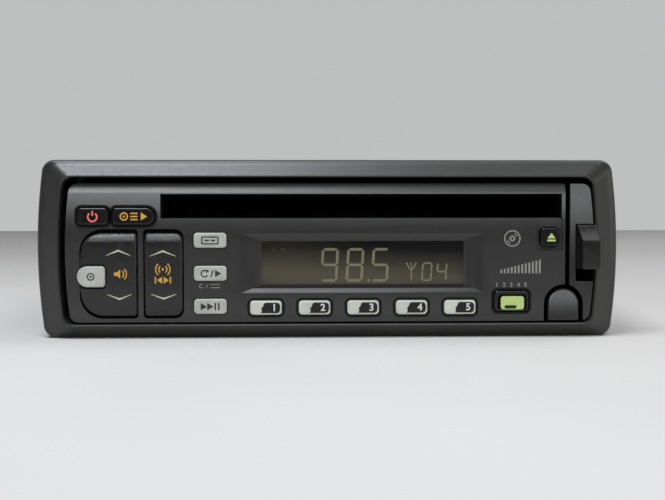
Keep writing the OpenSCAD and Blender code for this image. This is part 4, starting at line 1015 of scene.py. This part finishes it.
class PLAYER_OT_signs(bpy.types.Operator):
    """Signs and numbers on the keys, and signs printed on the face"""

    bl_idname = "player.signs"
    bl_label = "Signs"

    def execute(self, context):
        self.top_keys()
        self.rocker_signs()
        self.side_keys()
        self.preset_numbers()
        self.lit_keys()
        self.face_print()
        self.key_rims()
        return {"FINISHED"}

    def top_keys(self):
        """Power sign in rose and source sign in amber."""
        tones = colours()
        rose = worn_paint("lit_rose", tones.rose, 0.4, 0.35)
        amber = worn_paint("lit_amber", tones.amber, 0.4, 0.15)
        self.key_sign("power", "black_key", rose, lambda x, z: [
            arc_loop(x, z - 0.15, 1.45, 0.5, 130, 410), bar_loop((x, z + 0.25), (x, z + 1.75), 0.5)])
        self.key_sign("mode", "black_key", amber, lambda x, z: [
            *ring_loops(x - 3.0, z, 1.35, 0.9, 0.35),
            *(level_loop(x - 0.9, x + 1.4, z + rise, 0.45) for rise in (-1.0, 0.0, 1.0)),
            triangle_loop(x + 3.4, z, 2.0, 2.6)])

    def key_sign(self, key, slot, finish, draw, shift=0.0):
        """A sign on a key, drawn around the middle of its front or a little to the right."""
        node = f"{key}_key"
        x, z, front = middle(node)
        sign(f"{key}_sign", node, slot, finish, draw(x + shift, z), front)

    def rocker_signs(self):
        """Cream arrows, which follow the rounded ends of the rockers, and amber signs between them."""
        tones = colours()
        cream = worn_paint("printed_cream", tones.cream, 0.45)
        amber = worn_paint("printed_amber", tones.amber, 0.45, 0.1)

        def arrows(node, *loops):
            name = node.replace("rocker", "arrows")
            piece = sign(name, node, "black_key", cream, loops, corners(node)[0].y)
            round_back(piece, node, *rocker_lean(node))

        low, high = corners("volume_rocker")
        x, z, front = low.x + 12.2, (low.z + high.z) / 2, low.y
        arrows("volume_rocker",
               arrow_loop(x, z + 6.0, 8.0, 1.9, 0.6), arrow_loop(x + 0.3, z - 6.6, 8.0, -1.8, 0.6))
        x += 0.6
        speaker = [[(x - 2.0, z - 0.55), (x - 1.1, z - 0.55), (x, z - 1.5), (x, z + 1.5), (x - 1.1, z + 0.55),
                    (x - 2.0, z + 0.55)]]
        speaker += [arc_loop(x - 0.2, z, radius, 0.4, -48, 48) for radius in (1.3, 2.2)]
        sign("volume_sign", "volume_rocker", "black_key", amber, speaker, front)
        x, z, front = middle("tune_rocker")
        arrows("tune_rocker",
               arrow_loop(x, z + 5.8, 8.4, 1.9, 0.6), arrow_loop(x + 0.2, z - 6.6, 8.2, -1.7, 0.6))
        z += 1.5
        waves = ring_loops(x, z, 0.4)
        for start in (-50, 130):
            waves += [arc_loop(x, z, radius, 0.4, start, start + 100) for radius in (1.3, 2.3)]
        z -= 3.5
        waves += [triangle_loop(x + 1.1, z, 1.7, 2.2), triangle_loop(x - 1.1, z, -1.7, 2.2)]
        waves += [upright_loop(x + side * 2.4, z, 1.1, 0.45) for side in (-1, 1)]
        sign("tune_sign", "tune_rocker", "black_key", amber, waves, front)

    def side_keys(self):
        """Dark signs on the light grey keys."""
        ink = worn_paint("printed_dark", (0.035, 0.034, 0.032), 0.5)
        self.key_sign("display", "grey_key", ink, lambda x, z: [
            round_loop(x, z, 5.6, 2.6, 0.4), round_loop(x, z, 4.8, 1.8, 0.2),
            level_loop(x - 1.7, x - 0.3, z, 0.5), level_loop(x + 0.3, x + 1.7, z, 0.5)])
        self.key_sign("repeat", "grey_key", ink, lambda x, z: [
            arc_loop(x - 1.8, z, 1.05, 0.42, 60, 330), triangle_loop(x - 0.75, z + 0.75, 1.1, 1.2),
            bar_loop((x + 0.2, z - 1.2), (x + 1.0, z + 1.2), 0.4), triangle_loop(x + 2.6, z, 2.0, 2.3)])
        self.key_sign("scan", "grey_key", ink, lambda x, z: [
            *(triangle_loop(x + shift, z, 2.0, 2.4) for shift in (-2.1, 0.0)),
            *(upright_loop(x + shift, z, 1.2, 0.5) for shift in (1.6, 2.7))])
        self.key_sign("select", "grey_key", ink, lambda x, z: ring_loops(x, z, 1.25, 0.85, 0.35))

    def preset_numbers(self):
        """A black end with a white number on each preset key."""
        white = worn_paint("printed_white", (0.78, 0.79, 0.76), 0.45)
        black = polished_plastic("preset_black", colours().gloss_black, 0.3)
        worn = [(-0.2, 1.7), (-0.75, 1.1), (-0.9, 0.5), (-1.5, -0.2), (-1.25, -0.9), (-1.6, -1.7)]
        end = [(3.6, -1.7), (4.3, -1.4), (4.6, -0.7), (4.6, 0.7), (4.3, 1.4), (3.6, 1.7)]
        for place, node in enumerate(PRESETS, 1):
            x, z, front = middle(node)
            black_end = [(x + across, z + rise) for across, rise in worn + end]
            sign(f"preset_{place}_end", node, "pale_key", black, [black_end], front)
            number(f"preset_{place}_number", node, "pale_key", white, str(place),
                   x + 2.7, z, 2.3, front - INK / 2)

    def lit_keys(self):
        """Lime window of the auto-preset key and the eject sign."""
        tone = colours().lime
        lime = worn_paint("lit_lime", tone, 0.3, 0.2)
        glow = worn_paint("lit_green", shade(tone, 0.22), 0.3, 0.1)
        dark = worn_paint("printed_black", (0.012, 0.016, 0.006), 0.5)
        x, z, front = middle("auto_preset_key")
        # The dim green plate around the window is painted light: the glow of the lit window spilling onto the
        # key.
        for name, finish, loop, lift in (
            ("glow", glow, round_loop(x + 0.2, z - 0.4, 9.4, 5.2, 1.2), -INK / 2),
            ("window", lime, round_loop(x + 0.3, z - 0.55, 7.6, 4.3, 0.9), 0.0),
            ("mark", dark, round_loop(x - 0.3, z - 1.9, 3.9, 1.1, 0.5), INK / 2),
        ):
            sign(f"auto_preset_{name}", "auto_preset_key", "lime_key", finish, [loop], front - lift)
        self.key_sign("eject", "black_key", lime, lambda x, z: [
            [(x - 1.35, z - 0.35), (x + 1.35, z - 0.35), (x, z + 1.35)],
            level_loop(x - 1.35, x + 1.35, z - 1.05, 0.6)], shift=0.5)

    def key_rims(self):
        """Black rims on the face around the dark and the pale keys: their dark surround and painted shade of
        the gaps.
        """
        black = pitch_black("rim_shade_black", 0.4)
        front = corners("face_shell")[0].y
        for node in ("power_key", "mode_key", "auto_preset_key", *PRESETS):
            x, z = middle(node)[:2]
            low, high = corners(node)
            wide, tall = high.x - low.x, high.z - low.z - 2 * FLANGE_LIP
            left, right = 1.2, 2.75 if node == "mode_key" else 1.2
            rim = [round_loop(x, z, wide + 2 * grow, tall + 2 * grow, (right + grow, left + grow))
                   for grow in (0.95, 0.3)]
            sign(f"{node}_rim", "face", "face", black, rim, front)

    def face_print(self):
        """Grey signs on the face: a disc, level bars, the preset row and the two play orders."""
        grey = worn_paint("printed_grey", colours().print_grey, 0.5)
        front = corners("face_shell")[0].y
        key_x, key_z = middle("auto_preset_key")[:2]
        x, z = key_x + 0.3, key_z + 20.4
        disc = ring_loops(x, z, 2.7, 2.3, 0.95, 0.45)
        disc += [arc_loop(x, z, 1.65, 0.3, start, start + 50) for start in (20, 200)]
        sign("disc_print", "face", "face", grey, disc, front)
        bars = []
        for step in range(12):
            left, base = key_x - 3.3 + 1.15 * step, key_z + 9.0
            bars.append(bar_loop((left, base), (left, base + 1.2 + 0.29 * step), 0.62))
        sign("level_print", "face", "face", grey, bars, front)
        for place in range(5):
            number(f"preset_row_{place + 1}_print", "face", "face", grey, str(place + 1),
                   key_x - 4.7 + 2.35 * place, key_z + 5.2, 1.35, front)
        key_x, key_z = middle("repeat_key")[:2]
        x, z = key_x - 0.3, key_z - 4.1
        order = [arc_loop(x - 2.6, z, 0.62, 0.26, 40, 320)]
        order.append(bar_loop((x - 1.2, z - 0.7), (x - 0.4, z + 0.7), 0.24))
        order += [level_loop(x + 0.4, x + 3.4, z + rise, 0.28) for rise in (-0.55, 0.55)]
        sign("order_print", "face", "face", grey, order, front)


class PLAYER_OT_chassis(bpy.types.Operator):
    """Plated chassis, cover, screws and stud"""

    bl_idname = "player.chassis"
    bl_label = "Chassis"

    def execute(self, context):
        tones = colours()
        finish_groups((
            ("zinc_sheet", plated_sheet("chassis_zinc", tones.zinc, 0.36), ("chassis_tray", "top_cover")),
            ("steel", turned_metal("screw_steel", tones.steel, 0.28), ("cover_screws", "rear_stud")),
        ))
        return {"FINISHED"}


class PLAYER_OT_rear(bpy.types.Operator):
    """Heat sink, sockets and fuse at the back"""

    bl_idname = "player.rear"
    bl_label = "Rear"

    def execute(self, context):
        tones = colours()
        alloy = turned_metal("sink_alloy", tones.alloy, 0.4, (1.0, 1.0, 0.08))
        black = moulded_plastic("socket_black", tones.gloss_black, 0.5)
        brass = turned_metal("contact_brass", tones.brass, 0.3)
        red = polished_plastic("fuse_red", tones.fuse_red, 0.3)
        finish_groups((
            ("alloy", alloy, ("heat_sink",)),
            ("black_plastic", black, ("rear_connector",)),
            ("plated", brass, ("antenna_socket",)),
            ("black_plastic", black, ("line_out_jacks",)),
            ("fuse_red", red, ("fuse",)),
        ))
        return {"FINISHED"}


class PLAYER_OT_boards(bpy.types.Operator):
    """Circuit boards and what is soldered to them"""

    bl_idname = "player.boards"
    bl_label = "Boards"

    def execute(self, context):
        tones = colours()
        upright = circuit_board("face_board", tones.board, "XZ")
        flat = circuit_board("main_board", tones.board, "XY")
        black = moulded_plastic("part_black", tones.gloss_black, 0.45, wear=0.1)
        sheet = plated_sheet("can_zinc", tones.zinc, 0.32, 2.5)
        sleeve = polished_plastic("sleeve_black", tones.gloss_black, 0.3)
        finish_groups((
            ("board", upright, ("face_pcb",)),
            ("board", flat, ("main_pcb",)),
            ("black_plastic", black, ("tact_switches", "carrier_connector", "power_amp")),
            ("zinc_sheet", sheet, ("tuner_can",)),
        ))
        finished("capacitors", "black_plastic", sleeve, sizes().sheet_edge * 2)
        return {"FINISHED"}


class PLAYER_OT_drive(bpy.types.Operator):
    """Disc drive: frame, motors, sled, roller and clamp"""

    bl_idname = "player.drive"
    bl_label = "Disc drive"

    def execute(self, context):
        tones = colours()
        sheet = plated_sheet("drive_zinc", tones.zinc, 0.34, 4.0)
        bright = turned_metal("drive_steel", tones.steel, 0.25, (0.08, 1.0, 1.0))
        black = moulded_plastic("drive_black", tones.gloss_black, 0.45)
        ivory = moulded_plastic("drive_ivory", tones.ivory, 0.4, wear=0.05)
        rubber = soft_rubber("drive_rubber", (0.018, 0.018, 0.018))
        pieces = finish_groups((
            ("zinc_sheet", sheet, ("mech_frame", "mech_top_plate", "clamp_arm", "roller_arm", "mech_posts")),
            ("steel", bright, ("spindle_motor", "guide_rods", "sled_motor", "load_motor", "lead_screw")),
            ("black_plastic", black, ("turntable", "pickup_sled")),
            ("ivory", ivory, ("sled_pinion", "drive_pulley", "clamper_puck")),
            ("rubber", rubber, ("mech_dampers", "feed_roller", "drive_belt")),
        ))
        self.slim_pins(pieces["clamp_arm"])
        by_slot = ("mech_frame", "mech_top_plate", "roller_arm", "clamp_arm")
        self.slot_paint([pieces[node] for node in by_slot])
        return {"FINISHED"}

    def slim_pins(self, arm):
        """A hair of room around the pins on which the clamp arm swings."""
        high = corners("clamp_arm")[1]
        axis = Vector((0.0, high.y - BARREL_R, high.z - BARREL_R)) * MM
        select_edges(arm, lambda point: (point.yz - axis.yz).length < PIN_REACH * BARREL_R * MM)
        bpy.ops.transform.resize(value=(1.0, PIN_SHARE, PIN_SHARE), center_override=axis)
        leave_edit()

    def slot_paint(self, pieces):
        """Painted shade: black on what shows through the slot, but not on the tops above the clamp arm's
        underside.
        """
        dark = pitch_black("slot_paint", 0.8)
        mouth = corners("mech_frame")[0].y + SLOT_SHADE
        roof = corners("clamp_arm")[0].z

        def in_slot(point, normal):
            on_top = normal.z > SLOT_FACING and point.z > roof
            return (point.y < mouth or normal.y < -SLOT_FACING) and not on_top

        for piece in pieces:
            cut_faces(piece, mouth, "Y")
            paint_faces(piece, dark, in_slot)


class PLAYER_OT_stage(bpy.types.Operator):
    """Cloth floor, pale surroundings, soft lamps and the camera"""

    bl_idname = "player.stage"
    bl_label = "Stage"

    def execute(self, context):
        self.floor()
        self.surroundings()
        self.lamp("overhead_lamp", 4.6, place=(-0.22, -0.3, 0.8), extent=(0.38, 0.38), tone=(0.91, 0.95, 1.0))
        self.lamp("fill_lamp", 3.2, place=(0.6, 0.2, 0.9), extent=(0.7, 0.5))
        self.lamp("front_lamp", 4.0, place=(0.08, -0.8, 0.8), extent=(0.9, 0.45), turn=(42, 0),
                  tone=(0.95, 0.97, 1.0))
        self.lamp("side_lamp", 1.0, place=(0.95, -0.6, 0.25), extent=(0.5, 0.5), turn=(85, 60),
                  tone=(1.0, 0.97, 0.88))
        self.camera()
        context.scene.view_settings.view_transform = "Standard"
        return {"FINISHED"}

    def floor(self):
        """White cloth with a faint weave, which ends some way behind the player."""
        bpy.ops.object.select_all(action="DESELECT")
        bpy.ops.mesh.primitive_plane_add(size=1.0)
        floor = bpy.context.object
        floor.name = "floor"
        floor.scale = (*FLOOR_SIZE, 1.0)
        floor.location = (0.0, FLOOR_BACK, 0.0)
        bpy.ops.object.transform_apply(location=True, rotation=False, scale=True)
        recipe = Recipe("floor_cloth")
        recipe.bump(recipe.grain(0.9, 2.0), 0.15, 0.2)
        cloth = recipe.mottle(260.0, 3.0, colours().floor, 0.94, 1.03)
        floor.data.materials.append(recipe.done(colour=cloth, rough=0.9, gloss=0.1))

    def surroundings(self):
        """Pale wall for the camera and for reflections, dimmer in front, and even light for the rest."""
        world = bpy.data.worlds.new("surroundings")
        bpy.context.scene.world = world
        world.use_nodes = True
        tree = world.node_tree

        def brighter(first, second):
            return add_node(tree, "Math", {0: first, 1: second}, operation="MAXIMUM").outputs["Value"]

        rays = add_node(tree, "LightPath").outputs
        camera = rays["Is Camera Ray"]
        seen = brighter(brighter(camera, rays["Is Glossy Ray"]), rays["Is Transmission Ray"])
        way = add_node(tree, "TexCoord").outputs["Generated"]
        ahead = add_node(tree, "SeparateXYZ", {"Vector": way}).outputs["Y"]
        dimming = {"From Min": -0.6, "From Max": 0.3, "To Min": 0.18, "To Max": 1.0, "Value": ahead}
        dimmed = add_node(tree, "MapRange", dimming).outputs["Result"]
        tone = (*colours().backdrop, 1.0)
        wall = add_node(tree, "Background", {"Color": tone, "Strength": brighter(camera, dimmed)})
        light = tree.nodes["Background"]
        feed(tree, light.inputs["Color"], (0.97, 0.98, 1.0, 1.0))
        feed(tree, light.inputs["Strength"], AMBIENT)
        choice = add_node(tree, "MixShader", {"Fac": seen, 1: light.outputs[0], 2: wall.outputs[0]})
        feed(tree, tree.nodes["World Output"].inputs["Surface"], choice.outputs["Shader"])

    def lamp(self, name, power, place, extent, turn=(0, 0), tone=(1.0, 1.0, 1.0)):
        """A rectangular soft lamp, tilted forward and turned about the upright by these degrees."""
        rotation = (radians(turn[0]), 0.0, radians(turn[1]))
        bpy.ops.object.light_add(type="AREA", location=place, rotation=rotation)
        lamp = bpy.context.object
        lamp.name = name
        lamp.data.shape = "RECTANGLE"
        lamp.data.size, lamp.data.size_y = extent
        lamp.data.energy = power
        lamp.data.color = tone

    def camera(self):
        """A long lens in front of the player, a little above its middle."""
        low, high = corners("bezel")
        distance, rise = sizes().camera_distance, sizes().camera_rise
        aim = Vector((CAMERA_AIM[0], low.y, (low.z + high.z) / 2 + CAMERA_AIM[1])) * MM
        place = aim + distance * Vector((0.0, -cos(rise), sin(rise)))
        bpy.ops.object.camera_add(location=place, rotation=(pi / 2 - rise, 0.0, -CAMERA_TURN))
        camera = bpy.context.object
        camera.name = "camera"
        camera.data.sensor_width = SENSOR
        camera.data.lens = SENSOR * distance / (VIEW_WIDTH * MM)
        camera.data.shift_x = -tan(CAMERA_TURN) * distance / (VIEW_WIDTH * MM)
        bpy.context.scene.camera = camera


STEPS = (
    PLAYER_OT_trim, PLAYER_OT_face, PLAYER_OT_push_keys, PLAYER_OT_rockers, PLAYER_OT_display,
    PLAYER_OT_signs, PLAYER_OT_chassis, PLAYER_OT_rear, PLAYER_OT_boards, PLAYER_OT_drive, PLAYER_OT_stage,
)


class PLAYER_PT_panel(bpy.types.Panel):
    """Settings of the player and its making in order"""

    bl_idname = "PLAYER_PT_panel"
    bl_label = "Car CD player"
    bl_space_type = "VIEW_3D"
    bl_region_type = "UI"
    bl_category = "CD player"

    def draw(self, context):
        for settings in (context.scene.player_sizes, context.scene.player_colours):
            box = self.layout.box()
            for name in settings.__annotations__:
                box.prop(settings, name)
        for step in STEPS:
            self.layout.operator(step.bl_idname)


CLASSES = (PlayerSizes, PlayerColours, *STEPS, PLAYER_PT_panel)


def register():
    """Adds the settings, operators and panel."""
    for entry in CLASSES:
        bpy.utils.register_class(entry)
    bpy.types.Scene.player_sizes = bpy.props.PointerProperty(type=PlayerSizes)
    bpy.types.Scene.player_colours = bpy.props.PointerProperty(type=PlayerColours)


def unregister():
    """Takes away the settings, operators and panel."""
    del bpy.types.Scene.player_colours
    del bpy.types.Scene.player_sizes
    for entry in reversed(CLASSES):
        bpy.utils.unregister_class(entry)


def main():
    """Runs every step in order."""
    register()
    for step in STEPS:
        group, name = step.bl_idname.split(".")
        getattr(getattr(bpy.ops, group), name)()


if __name__ == "__main__":
    main()
